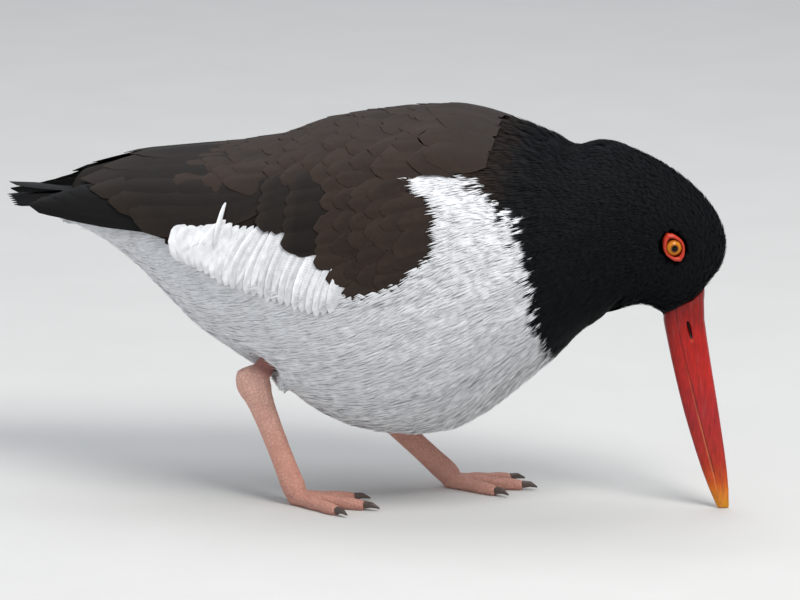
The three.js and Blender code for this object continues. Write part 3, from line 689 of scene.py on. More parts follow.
class Vanes:
    def __init__(self, name, rows=12, columns=7, thick=0.3):
        self.name = name
        self.rows = rows
        self.columns = columns
        self.thick = thick
        self.points = []
        self.normals = []
        self.tints = []
        self.barbs = []
        self.roots = []

    def add(self, place, look, tone, edgeTone=None, **own):
        # place(along, across, height) gives points. along is 0 to 1 and across is in millimetres.
        # The heights are those of the root and the end, and a higher tip makes a squarer end.
        own = {"tip": 3.4, "camber": 0.3, "rootWidth": 0.45, **look, **own}
        length, width, heights, fray = own["length"], own["width"], own["heights"], own["fray"]
        tip, camber, rootWidth = own["tip"], own["camber"], own["rootWidth"]
        if own["tones"]:
            tone = np.asarray(tone) * (1 + draw.normal(0, own["tones"]))
        t = np.linspace(0, 1, self.rows)[:, None] ** 0.9
        v = np.linspace(-1, 1, self.columns)[None, :]
        shape = rootWidth + (1 - rootWidth) * np.clip(t / 0.4, 0, 1) ** 0.7
        shape = np.maximum(shape * np.maximum(1 - t ** tip, 0) ** 0.5, 0.05)
        ragged = 1 + draw.normal(0, fray, (self.rows, self.columns)) * np.abs(v)
        across = v * shape * ragged * width / 2
        # The slip fades with the width, so that no face folds over at the end of the vane.
        slip = draw.normal(0, fray * 0.5, (1, self.columns)) * np.clip((t - 0.6) / 0.4, 0, 1) * shape
        height = heights[0] + (heights[1] - heights[0]) * t - camber * v * v * (0.4 + 0.6 * t) * shape
        height = height + 0.16 * np.exp(-(v / 0.12) ** 2) * (1 - 0.7 * t)
        along = np.clip(t + slip, 0, 1.04) + 0 * v
        flat = 0 * along
        out = unit(place(along, across, flat + 1) - place(along, across, flat))
        aside = unit(place(along, across + 0.5, flat) - place(along, across - 0.5, flat))
        crown = v[..., None] * 0.22 * (0.3 + 0.7 * t[..., None])
        ahead = place(along + 0.01, across, flat) - place(along, across, flat)
        order = 1 if (np.cross(aside, ahead) * out).sum() > 0 else -1  # so that every vane's top faces out
        for side in (0, 1):
            self.normals.append(((out + aside * crown) * (1 - 2 * side))[:, ::order].reshape(-1, 3))
            made = place(along, across, height - side * self.thick * (1 - 0.6 * t))
            self.points.append(made[:, ::order].reshape(-1, 3))
            self.roots.append(np.repeat(made[0:1, self.columns // 2], made[..., 0].size, 0))
            self.barbs.append(np.stack([across, along * length], -1)[:, ::order].reshape(-1, 2))
            streak = 1 + draw.normal(0, 0.10, (1, self.columns, 1))
            streak = streak + draw.normal(0, 0.04, (self.rows, self.columns, 1))
            # Painted shade: each vane is darker towards its root, under the vanes that lie over it.
            colour = np.asarray(tone) * streak * (0.9 + 0.16 * t[..., None])
            if edgeTone is not None:
                rim = np.clip((np.maximum(np.abs(v) + 0 * t, t + 0 * v) - 0.78) / 0.2, 0, 1)
                colour = blend(colour, edgeTone, rim * 0.6)
            self.tints.append(colour[:, ::order].reshape(-1, 3))

    def build(self, slot, replaced):
        block = self.rows * self.columns
        count = len(self.points) // 2
        cells = np.arange(block).reshape(self.rows, self.columns)
        top = np.stack([cells[:-1, :-1], cells[:-1, 1:], cells[1:, 1:], cells[1:, :-1]], -1).reshape(-1, 4)
        under = top[:, ::-1] + block
        rim = np.concatenate([cells[0, :-1], cells[:-1, -1], cells[-1, :0:-1], cells[:0:-1, 0]])
        after = np.roll(rim, -1)
        wall = np.stack([after, rim, rim + block, after + block], -1)
        one = np.concatenate([top, under, wall])
        quads = (one[None] + (np.arange(count) * 2 * block)[:, None, None]).reshape(-1, 4)
        points = np.concatenate(self.points) + shift
        piece = gridMesh(self.name, points, quads, vanes)
        vertexTint(piece, np.clip(np.concatenate(self.tints), 0, 1))
        vertexUv(piece, "barbs", np.concatenate(self.barbs))
        roots = spine.place(np.concatenate(self.roots) + shift)
        patch = np.concatenate(self.barbs) * (0.003 / 60)
        vertexUv(piece, "OFBake", roots + patch)
        softShade(piece, np.concatenate(self.normals))
        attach(piece, "root")
        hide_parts(*replaced)
        report("%s: %d feathers, %d faces" % (self.name, count, len(quads)))
        return piece


def onBed(root, tip, side=1):
    # A way along the bed between two [distance, degrees from the back] places.
    def place(along, across, height):
        x = root[0] + (tip[0] - root[0]) * along
        angle = np.radians(root[1] + (tip[1] - root[1]) * along)
        half, rise, _ = bed.across(x)
        radius = np.hypot(half * np.cos(angle), rise * np.sin(angle))
        return bed.point(x, side * (angle + across / radius), height)
    return place


def spanOnBed(root, tip):
    middle = math.radians((root[1] + tip[1]) / 2)
    half = bed.across(root[0])[0]
    return math.hypot(root[0] - tip[0], half * math.radians(tip[1] - root[1]) * math.cos(middle / 2))


mantleRows = {
    "from": 46, "to": -80, "step": 7.0, "edge": 42, "gap": 9.3, "length": 29, "width": 18,
    "longer": (-30, 1.3),  # behind this place the feathers are this much longer
    "uneven": {"angle": 1.0, "root": 1.2, "length": 0.08, "tip": 1.5},
    "fan": 1.03, "heights": (-0.9, 0.25), "tip": 2.6, "fray": 0.09, "tones": 0.07, "edgeTone": 1.25,
}


def buildMantle():
    rows = mantleRows
    uneven = rows["uneven"]
    edgeTone = np.asarray(tones["brown"]) * rows["edgeTone"]
    coat = Vanes("mantle_feathers", rows=11, columns=7)
    row = 0
    x = rows["to"]
    while x <= rows["from"]:
        count = int(2 * rows["edge"] / rows["gap"])
        longer = rows["longer"][1] if x < rows["longer"][0] else 1
        for i in range(count + row % 2):
            offset = i + 0.5 * ((row + 1) % 2) - count / 2
            angle = offset * rows["gap"] + draw.normal(0, uneven["angle"])
            root = (x + draw.normal(0, uneven["root"]), angle)
            length = rows["length"] * (1 + draw.normal(0, uneven["length"])) * longer
            tip = (root[0] - length, angle * rows["fan"] + draw.normal(0, uneven["tip"]))
            coat.add(onBed(root, tip), rows, tones["brown"], edgeTone, length=length)
        row += 1
        x += rows["step"]
    coat.build("brown_plumage", ["mantle"])


underCoat = {"from": -140, "to": 47, "turn": 96, "step": 3.0, "inset": 2.0, "height": -1.5, "thick": 0.4}


def buildUnderCoat():
    # A dark sheet close under the back and wing feathers, so that no skin shows between them.
    step, turn = underCoat["step"], underCoat["turn"]
    rows = np.arange(underCoat["from"], underCoat["to"], step)
    x, angle = np.meshgrid(rows, np.arange(-turn, turn + 1, step), indexing="ij")
    inside = underCover(x, angle, underCoat["inset"])
    cells = np.arange(x.size).reshape(x.shape)
    whole = inside[:-1, :-1] & inside[1:, :-1] & inside[1:, 1:] & inside[:-1, 1:]
    quads = np.stack([cells[:-1, :-1], cells[1:, :-1], cells[1:, 1:], cells[:-1, 1:]], -1)[whole]
    points = bed.point(x.ravel(), np.radians(angle.ravel()), np.full(x.size, underCoat["height"])) + shift
    piece = gridMesh("under_coat", points, quads[:, ::-1], plumage)
    vertexTint(piece, np.broadcast_to(tones["dark"], points.shape))
    vertexUv(piece, "OFBake", spine.place(points))
    thickness = piece.modifiers.new("thickness", "SOLIDIFY")
    thickness.thickness = underCoat["thick"] * mm
    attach(piece, "root")
    report("under coat")


buildMantle()
buildUnderCoat()

lesserCoverts = {
    "rows": [31, 24, 17, 10, 3, -4], "count": 5, "angles": (46, 88), "length": 19, "width": 12, "turn": 3,
    "short": {0: (66, 80), 1: (58, 84), 2: (51, 86), 5: (46, 80)},  # the rows with their own angles
    "heights": (-0.7, 0.3), "tip": 2.8, "fray": 0.08, "tones": 0.08, "edgeTone": 1.2,
}
medianCoverts = {
    "rows": [-11, -24], "count": 5, "low": 45, "spread": (25, 8), "length": 27, "width": 15, "turn": 4,
    "heights": (-0.7, 0.35), "fray": 0.06, "tones": 0.08,
}


def coverts(coat, side):
    small, large = lesserCoverts, medianCoverts
    edgeTone = np.asarray(tones["brown"]) * small["edgeTone"]
    for row, x in enumerate(small["rows"]):
        odd = row % 2
        low, high = small["short"].get(row, small["angles"])
        for i in range(small["count"] + odd):
            share = (i + 0.5 * odd) / (small["count"] + odd - 0.5)
            angle = low + (high - low) * share + draw.normal(0, 1)
            root = (x + draw.normal(0, 1), angle)
            tip = (x - small["length"] + draw.normal(0, 1), angle + small["turn"] + draw.normal(0, 1.5))
            coat.add(onBed(root, tip, side), small, tones["brown"], edgeTone)
    for row, x in enumerate(large["rows"]):
        spread = large["spread"][0] - large["spread"][1] * row
        for i in range(large["count"]):
            angle = large["low"] + spread * i / (large["count"] - 1) + draw.normal(0, 1)
            tip = (x - large["length"], angle + large["turn"] + draw.normal(0, 1))
            coat.add(onBed((x, angle), tip, side), large, tones["dark"], tones["brown"])


whitePatch = {
    "count": 24, "from": -4, "to": -77, "reach": 13, "shade": 0.92,
    "width": 16, "fray": 0.02, "tones": 0.02, "tip": 6, "camber": 0.05,
    "under": [(-60, 1), (-36, 14)], "sunk": [(-60, 0.1), (-42, -1.4)], "raised": (0.4, 0.3),
    "top": [(-77, 82), (-70, 75), (-64, 69), (-55, 74), (-27, 85), (-12, 93)],
    "low": [(-92, 83), (-88, 86), (-76, 90), (-61, 94), (-46, 98.5), (-23, 101), (-14, 99)],
}
notchFeather = {
    "root": (-65, 56), "end": (-69, 76), "width": 12, "heights": (0.9, 0.7), "fray": 0.02, "tones": None,
    "tip": 9, "camber": 0.1, "rootWidth": 0.05,
}


def greaterCoverts(coat, side):
    # White strips between the brown coverts' edge and the flank, and one more in the notch above them.
    patch = whitePatch
    # Painted shade: the patch's white is made a little darker than the white of the flank.
    white = np.array(tones["white"]) * patch["shade"]
    for i in range(patch["count"]):
        share = i / (patch["count"] - 1)
        x = patch["from"] + (patch["to"] - patch["from"]) * share
        end = x - patch["reach"]
        root = (x, float(curve(x, patch["top"]) - curve(x, patch["under"])))
        tip = (end, float(curve(end, patch["low"])) + draw.normal(0, 0.5))
        heights = (float(curve(x, patch["sunk"])), patch["raised"][0] + patch["raised"][1] * (1 - share))
        coat.add(onBed(root, tip, side), patch, white, length=spanOnBed(root, tip), heights=heights)
    root, tip = notchFeather["root"], notchFeather["end"]
    coat.add(onBed(root, tip, side), notchFeather, white, length=spanOnBed(root, tip))


# Root and tip of each feather as distance along the bird and degrees from the back.
primaries = {
    "places": [((-94, 76), (-158, 77)), ((-90, 72), (-153, 69)), ((-84, 66), (-147, 61)),
               ((-80, 60), (-140, 54)), ((-72, 56), (-132, 47))],
    "length": 90, "width": 13, "low": -1.0, "high": 0.1, "step": 0.1, "fray": 0.015, "tones": 0.05, "tip": 5,
}
tertials = {
    "places": [((-46, 50), (-107, 77)), ((-42, 50), (-110, 72)), ((-38, 47), (-120, 65)),
               ((-36, 41), (-130, 52)), ((-38, 31), (-136, 37)), ((-42, 20), (-128, 22)),
               ((-46, 10), (-116, 9))],
    "widths": [19, 20, 20, 20, 20, 20, 18],
    "length": 85, "low": -0.8, "high": 0.5, "step": 0.12, "fray": 0.02, "tones": 0.1, "tip": 4,
}
farReach = -21  # the left wing's tip is further back than the right one's


def flightFeathers(coat, side):
    reach = farReach if side > 0 else 0
    for n, (root, tip) in enumerate(primaries["places"]):
        end = (tip[0] + reach, tip[1])
        heights = (primaries["low"], primaries["high"] + primaries["step"] * n)
        coat.add(onBed(root, end, side), primaries, tones["jet"], heights=heights)
    for n, (root, tip) in enumerate(tertials["places"]):
        end = (tip[0] + reach * max(-tip[0] - 90, 0) / 70, tip[1])
        heights = (tertials["low"], tertials["high"] + tertials["step"] * n)
        coat.add(onBed(root, end, side), tertials, tones["dark"], tones["brown"], heights=heights,
                 width=tertials["widths"][n])


def buildWings():
    for name, side in (("right", -1), ("left", 1)):
        coat = Vanes("wing_feathers_" + name, rows=13, columns=7)
        flightFeathers(coat, side)
        greaterCoverts(coat, side)
        coverts(coat, side)
        coat.build("brown_plumage", ["wing_" + name])


buildWings()

tailShape = {
    "from": -118, "to": -174, "shorter": 1.3, "pairs": 6,
    "length": 56, "width": 10.4, "heights": (0, 0), "fray": 0.012, "tones": 0.06, "tip": 8, "camber": 0.25,
    "height": 123.5, "lift": 4.0, "level": 1.1, "drop": 0.42, "split": {1: 3.6, -1: -1.2},
    "rootSpread": (0.8, 0.7), "tipSpread": (1.6, 2.25),  # of the middle pair, and for each further pair
}


def tailPlace(n, side):
    shape = tailShape
    end = shape["to"] + shape["shorter"] * n
    rootSide, tipSide = (first + more * n for first, more in (shape["rootSpread"], shape["tipSpread"]))

    def place(along, across, height):
        x = shape["from"] + (end - shape["from"]) * along
        y = side * (rootSide * (1 - along) + tipSide * along) + across
        z = shape["height"] + shape["lift"] * np.maximum(1 - along, 0) ** 1.5
        z = z + shape["level"] - shape["drop"] * n + height + shape["split"][side] * along ** 2
        return np.stack([x, y, z], -1)
    return place


def buildTail():
    coat = Vanes("tail_feathers", rows=12, columns=7, thick=0.35)
    for n in range(tailShape["pairs"] - 1, -1, -1):
        for side in (-1, 1):
            coat.add(tailPlace(n, side), tailShape, tones["jet"])
    coat.build("black_plumage", ["tail"])


buildTail()


# Body feathers: small tufts of barbs over the skin

pieceLimit = 190000  # triangles in one joined piece


class Tufts:
    def __init__(self, name, strands, length, width, rise, fluff, thin=0.75, rootShade=0.9, rough=0.1):
        self.name = name
        self.strands = strands
        self.length = length
        self.width = width
        self.rise = rise
        self.fluff = fluff
        self.thin = thin
        self.rootShade = rootShade
        self.rough = rough
        self.rows = 4
        self.widths = np.array([0.9, 1.0, 0.8, 0.0])  # of a barb, row by row

    def build(self, roots, normals, flow, tints, slot, sizes, raised=0.0):
        count = len(roots)
        lengths = self.length * sizes * (1 + draw.normal(0, 0.08, count))
        flow = unit(flow - normals * (flow * normals).sum(-1, keepdims=True))
        steps = np.linspace(0, 1, self.rows)
        path = np.empty((count, self.rows, 3))
        outward = np.empty((count, self.rows, 3))
        path[:, 0], outward[:, 0] = roots, normals
        for r in range(1, self.rows):
            ahead = path[:, r - 1] + flow * (lengths * (steps[r] - steps[r - 1]))[:, None]
            path[:, r], outward[:, r] = skinSurface.nearest(ahead)
            bend = unit(path[:, r] - path[:, r - 1])
            flow = unit(bend - outward[:, r] * (bend * outward[:, r]).sum(-1, keepdims=True))
        lift = self.rise[0] + (self.rise[1] - self.rise[0]) * steps ** 0.8
        raised = np.broadcast_to(raised, count)[:, None, None] * steps[None, :, None]
        path = path + outward * (lift[None, :, None] * np.sqrt(sizes)[:, None, None] + raised)
        ahead = np.gradient(path, axis=1)
        sideways = unit(np.cross(outward, ahead))
        points, shading, patches = [], [], []
        for s in range(self.strands):
            u = 0 if self.strands == 1 else 2 * s / (self.strands - 1) - 1
            reach = (1 - 0.28 * u * u) * (1 + draw.normal(0, 0.06, count))
            at = np.clip(steps[None, :] * reach[:, None], 0, 1.15) * (self.rows - 1)
            a = np.clip(at.astype(int), 0, self.rows - 2)
            t = (at - a)[..., None]
            rowsIndex = np.arange(count)[:, None]
            middle = path[rowsIndex, a] * (1 - t) + path[rowsIndex, a + 1] * t
            fan = self.width * sizes[:, None] / 2 * u * (0.45 + 0.55 * np.sin(steps * 1.9))
            jitter = draw.normal(0, self.fluff, (count, 1)) * steps[None, :] ** 1.5
            droop = -0.12 * u * u * self.width
            centre = middle + sideways * (fan + jitter * 2)[..., None]
            centre = centre + outward * (jitter + droop)[..., None]
            half = self.width / self.strands * self.thin * sizes[:, None] * self.widths
            tilt = draw.normal(0, 0.15, (count, 1))
            edge = (sideways + outward * tilt[..., None]) * half[..., None]
            face = outward + sideways * (0.18 * u + draw.normal(0, self.rough, (count, 1)))[..., None]
            shading.append(np.repeat(face[:, :-1], 2, 1))
            shading.append(face[:, -1:])
            points.append(np.stack([centre - edge, centre + edge], 2)[:, :-1].reshape(count, -1, 3))
            points.append(centre[:, -1:])
            width = np.stack([u - 0.1 + 0 * steps, u + 0.1 + 0 * steps], -1)[:-1].reshape(-1)
            patches.append(np.stack([width, np.repeat(steps[:-1], 2)], -1))
            patches.append(np.array([[u, 1.0]]))
        points = np.concatenate(points, 1)
        shading = np.concatenate(shading, 1)
        patches = np.concatenate(patches, 0)
        perStrand = 2 * (self.rows - 1) + 1
        block = self.strands * perStrand
        quads, triangles = [], []
        for s in range(self.strands):
            base = s * perStrand
            for r in range(self.rows - 2):
                k = base + 2 * r
                quads.append((k, k + 2, k + 3, k + 1))
            last = base + 2 * (self.rows - 2)
            triangles.append((last, last + 2, last + 1))
        starts = (np.arange(count) * block)[:, None, None]
        uv = spine.place(roots)[:, None, :] + patches[None] * 0.0015
        shade = np.clip(1 + draw.normal(0, 0.03, (count, 1, 1)), 0.8, 1.2)
        # Painted shade: each tuft is darker towards its root, under the tufts over it.
        rootShading = (self.rootShade + (1 - self.rootShade) * patches[:, 1])[None, :, None]
        colours = tints[:, None, :] * shade * rootShading
        limit = pieceLimit // (2 * len(quads) + len(triangles))
        for part, start in enumerate(range(0, count, limit)):
            chosen = slice(start, min(start + limit, count))
            size = chosen.stop - chosen.start
            name = self.name + ("_%d" % (part + 1) if count > limit else "")
            fours = (np.array(quads)[None] + starts[:size]).reshape(-1, 4)
            threes = (np.array(triangles)[None] + starts[:size]).reshape(-1, 3)
            piece = gridMesh(name, points[chosen].reshape(-1, 3), fours, plumage, threes)
            vertexTint(piece, np.clip(colours[chosen].reshape(-1, 3), 0, 1))
            vertexUv(piece, "OFBake", uv[chosen].reshape(-1, 2))
            softShade(piece, shading[chosen].reshape(-1, 3))
            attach(piece, "root")
        report("%s: %d tufts" % (self.name, count))


def skinSamples(spacing):
    # About one root in each cell of this size that the skin passes through.
    mesh = skin.data
    mesh.calc_loop_triangles()
    corners = np.array([t.vertices[:] for t in mesh.loop_triangles])
    places = vertexPlaces(skin)
    a, b, c = places[corners[:, 0]], places[corners[:, 1]], places[corners[:, 2]]
    cross = np.cross(b - a, c - a)
    area = np.linalg.norm(cross, axis=1) / 2
    wanted = int(area.sum() / spacing ** 2 * 9)
    face = draw.choice(len(area), wanted, p=area / area.sum())
    r1, r2 = np.sqrt(draw.random(wanted)), draw.random(wanted)
    points = a[face] * (1 - r1)[:, None] + b[face] * (r1 * (1 - r2))[:, None]
    points = points + c[face] * (r1 * r2)[:, None]
    normals = np.empty(len(mesh.vertices) * 3)
    mesh.vertex_normals.foreach_get("vector", normals)
    normals = normals.reshape(-1, 3)
    smooth = unit(normals[corners[face, 0]] + normals[corners[face, 1]] + normals[corners[face, 2]])
    cells = np.floor(points / spacing).astype(int)
    _, first = np.unique(cells[:, 0] * 1000003 + cells[:, 1] * 1009 + cells[:, 2], return_index=True)
    return points[first], smooth[first]


coatLie = {"down": 0.35, "downTo": (60, 30), "uneven": 0.07}


def lieOfCoat(points, normals):
    # Back along the spine, and a little downwards on the flanks.
    flow = -spine.tangents[spine.nearest(points)]
    x = straightened(points)[:, 0]
    end, over = coatLie["downTo"]
    flank = np.clip(1 - np.abs(normals[:, 2]), 0, 1) * np.clip((end - x) / over, 0, 1)
    down = np.array([0, 0, -1.0]) * (coatLie["down"] * flank)[:, None]
    return unit(flow + down + draw.normal(0, coatLie["uneven"], points.shape))


bodyCoat = {
    "spacing": 2.5, "front": 74, "ragged": 1.1,
    "hidden": (8, 1.5),  # no roots less than about this far ahead of the cover; degrees that it hides less
    "sizes": [(-150, 1.1), (-100, 1.15), (0, 1.0), (50, 0.85), (74, 0.6)],
    "besideWing": (11, 14, 17, 20), "flank": (46, 8), "raised": 2.3,
    "strands": 9, "length": 13, "width": 6.4, "rise": (-0.5, 1.7), "fluff": 0.22, "rootShade": 0.95,
}


def buildBodyFeathers():
    own = bodyCoat
    points, normals = skinSamples(own["spacing"])
    x = straightened(points)[:, 0]
    angle = bed.anglesAt(points)
    shown = (x < own["front"]) & ~underCover(x - own["hidden"][0], angle, own["hidden"][1])
    points, normals, x, angle = points[shown], normals[shown], x[shown], angle[shown]
    tints = markingsAndShade(points, own["ragged"])
    besideWing = sum(underCover(x - ahead, angle).astype(float) for ahead in own["besideWing"]) / 4
    besideWing = besideWing * np.clip((angle - own["flank"][0]) / own["flank"][1], 0, 1)
    coat = Tufts("body_feathers", own["strands"], own["length"], own["width"], own["rise"], own["fluff"],
                 rootShade=own["rootShade"])
    coat.build(points, normals, lieOfCoat(points, normals), tints, "white_plumage", curve(x, own["sizes"]),
               own["raised"] * besideWing)


headCoat = {
    "spacing": 1.5, "back": 70, "ragged": 1.1,
    "sizes": [(70, 1.25), (90, 1.1), (105, 0.85), (125, 0.62), (142, 0.6)],
    "strands": 5, "length": 6.0, "width": 2.6, "rise": (-0.3, 1.25), "fluff": 0.12, "thin": 0.85,
    "rough": 0.16,
}


def buildHeadFeathers():
    own = headCoat
    points, normals = skinSamples(own["spacing"])
    x = straightened(points)[:, 0]
    chosen = (x > own["back"]) & ~underBill(points, normals) & ~nearEye(points)
    points, normals, x = points[chosen], normals[chosen], x[chosen]
    coat = Tufts("head_feathers", own["strands"], own["length"], own["width"], own["rise"], own["fluff"],
                 thin=own["thin"], rough=own["rough"])
    flow = lieOfCoat(points, normals)
    tints = markingsAndShade(points, own["ragged"])
    coat.build(points, normals, flow, tints, "black_plumage", curve(x, own["sizes"]))


def underBill(points, normals):
    # True where the bill's base covers the skin.
    inside = np.zeros(len(points), bool)
    for i, (p, n) in enumerate(zip(points, normals)):
        hit = billSurface.tree.ray_cast(Vector(p - n * 0.5), Vector(n), 12)
        inside[i] = hit[0] is not None
    return inside


eyeShape = {
    "radius": 4.75, "cornea": 0.35, "corneaFrom": 3.6, "corneaOver": 1.1,
    "bare": 5.0, "bareFrom": -2,  # no head tufts this close to the middle line of an eye
    "lidVoxel": 0.28, "lidRounds": 5,
}
eyes = {}
for name in ("right", "left"):
    low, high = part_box("eye_" + name)
    ring = vertexPlaces(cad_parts["eye_ring_" + name])
    centre = np.array((low + high) / 2) / mm
    eyes[name] = {"centre": centre, "gaze": unit(ring.mean(0) - centre)}


def nearEye(points):
    near = np.zeros(len(points), bool)
    for eye in eyes.values():
        out = points - eye["centre"]
        axial = out @ eye["gaze"]
        radius = np.linalg.norm(out - axial[:, None] * eye["gaze"], axis=1)
        near |= (radius < eyeShape["bare"]) & (axial > eyeShape["bareFrom"])
    return near


# Bill, eyes and legs

billShape = {
    "voxel": 0.32, "rounds": 6,
    "base": [(110, 80.2), (113, 80.6), (122, 85.5), (131, 91.6), (134, 92.2)],  # just below its top end
    "sunk": [(111, 7.5), (116, 6.5), (121, 3.0), (126, 1.5), (131, 3.0)],  # how far it runs up into the head
    "flare": 0.16,
}
billTones = [  # from the tip, by height
    (0, (0.60, 0.25, 0.010)), (6, (0.56, 0.16, 0.006)), (12, (0.48, 0.062, 0.006)),
    (20, (0.38, 0.022, 0.010)), (40, (0.33, 0.014, 0.017)), (58, (0.40, 0.012, 0.008)),
    (74, (0.37, 0.007, 0.004)), (84, (0.24, 0.004, 0.002)),
]
billMarks = {
    "edge": (0.62, 0.16, 0.06), "edgeWidth": 0.95, "edgePlace": 0.65, "edgeTop": (64, 30), "edgeShare": 0.8,
    "mouth": (0.012, 0.001, 0.001), "lineWidth": 0.26, "mouthFrom": (7, 8), "mouthShare": 0.92,
    "nostril": (0.006, 0.001, 0.001), "nostrilWidth": 0.42,
    "nostrilLine": [(124.05, 81.4), (125.55, 75.0)],  # top and bottom of the slit, along the bird and up
    "below": (0.62, 0.07, 0.02), "belowPlace": (0.3, -1.6), "belowRadius": 1.1, "belowShare": 0.7,
}


def distanceToNode(points, node):
    tree = BVHTree.FromPolygons(
        [tuple(v) for v in vertexPlaces(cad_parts[node])],
        [tuple(f.vertices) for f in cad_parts[node].data.polygons])
    return np.array([tree.find_nearest(Vector(p))[3] for p in points])


def billTints(places):
    marks = billMarks
    height = places[:, 2] + draw.normal(0, 0.4, len(places))
    tint = np.stack([curve(height, [(z, tone[k]) for z, tone in billTones]) for k in range(3)], -1)
    side = distanceToNode(places, "bill_upper") - distanceToNode(places, "bill_lower")
    top, over = marks["edgeTop"]
    edge = np.clip(1 - np.abs(side - marks["edgePlace"]) / marks["edgeWidth"] * 2, 0, 1)
    edge = edge * np.clip((top - places[:, 2]) / over, 0, 1)
    tint = blend(tint, marks["edge"], edge * marks["edgeShare"])
    # Painted shade: a dark line where the gap between the mandibles lies, as the two are fused into one
    # piece.
    start, over = marks["mouthFrom"]
    mouth = np.clip(1.5 - np.abs(side) / marks["lineWidth"], 0, 1)
    mouth = mouth * np.clip((places[:, 2] - start) / over, 0, 1)
    tint = blend(tint, marks["mouth"], mouth * marks["mouthShare"])
    # Painted shade: the nostril slit is painted dark, as the shade inside it.
    p = straightened(places)[:, [0, 2]]
    a, b = map(np.array, marks["nostrilLine"])
    share = np.clip(((p - a) @ (b - a)) / ((b - a) @ (b - a)), 0, 1)
    off = np.linalg.norm(p - a - share[:, None] * (b - a), axis=1)
    tint = blend(tint, marks["nostril"], np.clip(1.9 - off / marks["nostrilWidth"], 0, 1))
    below = np.clip(1 - np.linalg.norm(p - b - marks["belowPlace"], axis=1) / marks["belowRadius"], 0, 1)
    return blend(tint, marks["below"], below * marks["belowShare"])


def buildBill():
    piece = fused("bill_horn", ["bill_upper", "bill_lower"], billShape["voxel"], billShape["rounds"])
    places = vertexPlaces(piece)
    vertexTint(piece, np.clip(billTints(places), 0, 1))
    p = straightened(places)
    top = np.clip((p[:, 2] - curve(p[:, 0], billShape["base"])) / 2, 0, 1)
    p[:, 2] += top * curve(p[:, 0], billShape["sunk"])
    p[:, 1] *= 1 + billShape["flare"] * top
    piece.data.vertices.foreach_set("co", (turned(p) * mm).ravel())
    piece.data.update()
    painted(piece, billMaterial())
    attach(piece, "root")
    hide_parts("bill_upper", "bill_lower")
    report("bill, %d faces" % len(piece.data.polygons))
    return piece


billSurface = Surface(buildBill())
buildBodyFeathers()
buildHeadFeathers()


def buildEyes():
    lids = lidMaterial()
    for name, eye in eyes.items():
        ball = bmesh.new()
        bmesh.ops.create_uvsphere(ball, u_segments=48, v_segments=32, radius=eyeShape["radius"])
        mesh = bpy.data.meshes.new("eyeball_" + name)
        ball.to_mesh(mesh)
        ball.free()
        places = np.empty(len(mesh.vertices) * 3)
        mesh.vertices.foreach_get("co", places)
        places = places.reshape(-1, 3)
        axial = places @ eye["gaze"]
        bulge = np.clip((axial - eyeShape["corneaFrom"]) / eyeShape["corneaOver"], 0, 1)
        places = places + eyeShape["cornea"] * bulge[:, None] * eye["gaze"] + eye["centre"]
        mesh.vertices.foreach_set("co", (places * mm).ravel())
        mesh.polygons.foreach_set("use_smooth", np.ones(len(mesh.polygons), bool))
        mesh.materials.append(eyeMaterial("eye " + name, eye["centre"], eye["gaze"]))
        piece = linked("eyeball_" + name, mesh)
        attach(piece, "root")
        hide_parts("eye_" + name)
        rim = fused("lids_" + name, ["eye_ring_" + name], eyeShape["lidVoxel"], eyeShape["lidRounds"])
        painted(rim, lids)
        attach(rim, "root")
        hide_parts("eye_ring_" + name)
    report("eyes")


legShape = {"voxel": 0.55, "rounds": 5, "depth": -0.35, "clawVoxel": 0.22, "clawRounds": 4}
legTones = {
    "toes": (0.52, 0.26, 0.20), "pink": (0.66, 0.33, 0.25), "pale": (0.72, 0.42, 0.34),
    "mauve": (0.20, 0.075, 0.065),
    "pinkFrom": (4, 8), "paleFrom": (20, 25),  # height from which each takes over, and over which length
}


def legTints(places, name):
    height = places[:, 2]
    tint = legTones["toes"]
    for key in ("pink", "pale"):
        start, over = legTones[key + "From"]
        tint = blend(tint, legTones[key], (height - start) / over)
    if name == "right":
        low = np.array(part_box("shank_right")[0]) / mm
        shank = (places[:, 0] - low[0]) / 8 + (height - low[2] - 3) / 5
        tint = blend(tint, legTones["mauve"], shank)
    return tint


def buildLegs():
    skinOfLegs = legMaterial()
    claws = clawMaterial()
    for name in ("right", "left"):
        nodes = ["tarsus_" + name, "foot_" + name] + (["shank_right"] if name == "right" else [])
        piece = fused("leg_" + name, nodes, legShape["voxel"], legShape["rounds"], legShape["depth"])
        vertexTint(piece, legTints(vertexPlaces(piece), name))
        painted(piece, skinOfLegs)
        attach(piece, "root")
        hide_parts(*nodes)
        for toe in ("inner", "middle", "outer"):
            node = "claw_%s_%s" % (name, toe)
            claw = fused("nail_%s_%s" % (name, toe), [node], legShape["clawVoxel"], legShape["clawRounds"])
            painted(claw, claws)
            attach(claw, "root")
            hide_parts(node)
    report("legs")


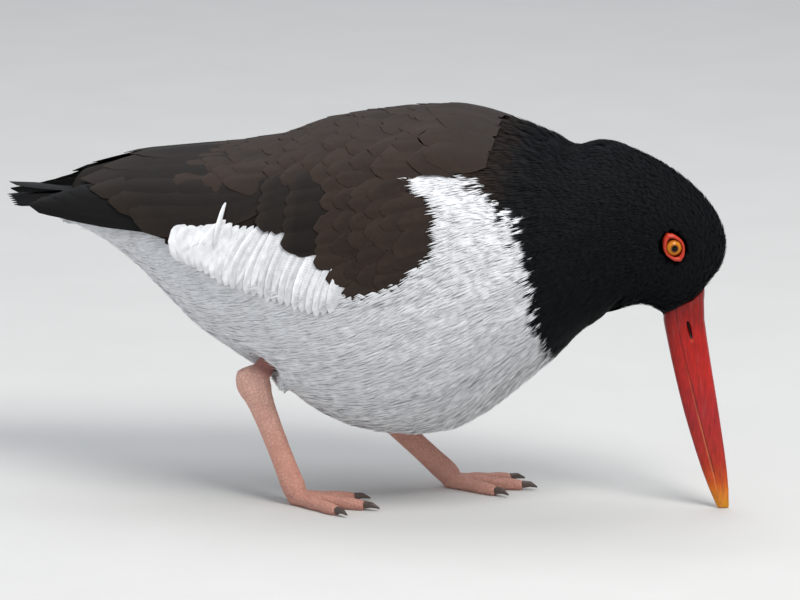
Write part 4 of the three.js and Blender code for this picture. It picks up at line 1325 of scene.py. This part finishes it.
buildEyes()
buildLegs()

bpy.data.objects.remove(bedPiece)


# Floor, light and camera

view = {"azimuth": 15, "elevation": 12, "distance": 4000, "lens": 423, "aim": (0, 0, 86)}


def buildFloor():
    size = 3000
    corners = np.array([(-size, -size, -0.2), (size, -size, -0.2), (size, size, -0.2), (-size, size, -0.2)])
    floor = gridMesh("floor", corners, np.array([(0, 1, 2, 3)]), floorMaterial())


def softbox(name, place, aim, size, power, colour):
    lamp = bpy.data.lights.new(name, "AREA")
    lamp.shape = "RECTANGLE"
    lamp.size, lamp.size_y = size
    lamp.energy = power
    lamp.color = colour
    piece = linked(name, lamp)
    piece.location = place
    piece.rotation_euler = (Vector(aim) - Vector(place)).to_track_quat("-Z", "Y").to_euler()


def buildLight():
    softbox("key", (0.9, -0.8, 1.5), (0, 0, 0.08), (0.8, 0.8), 30, (1.0, 0.98, 0.95))
    softbox("top", (-0.2, 0.4, 1.7), (0, 0, 0.05), (1.4, 1.4), 14, (0.95, 0.97, 1.0))
    softbox("fill", (-1.4, -1.0, 0.6), (0, 0, 0.08), (1.0, 1.0), 5, (0.95, 0.97, 1.0))
    bpy.context.scene.view_settings.view_transform = "Standard"
    world = bpy.data.worlds.new("room")
    bpy.context.scene.world = world
    world.use_nodes = True
    world.node_tree.nodes["Background"].inputs[0].default_value = (0.80, 0.85, 0.92, 1)
    world.node_tree.nodes["Background"].inputs[1].default_value = 0.55


def buildCamera():
    azimuth, elevation = math.radians(view["azimuth"]), math.radians(view["elevation"])
    aim = Vector(turned(view["aim"])) * mm
    level = math.cos(elevation)
    back = Vector((math.sin(azimuth) * level, -math.cos(azimuth) * level, math.sin(elevation)))
    lens = bpy.data.cameras.new("camera")
    lens.lens = view["lens"]
    lens.sensor_width = 36
    lens.clip_end = 50
    camera = linked("camera", lens)
    camera.location = aim + back * view["distance"] * mm
    camera.rotation_euler = (-back).to_track_quat("-Z", "Y").to_euler()
    bpy.context.scene.camera = camera


buildFloor()
buildLight()
buildCamera()
report("done")
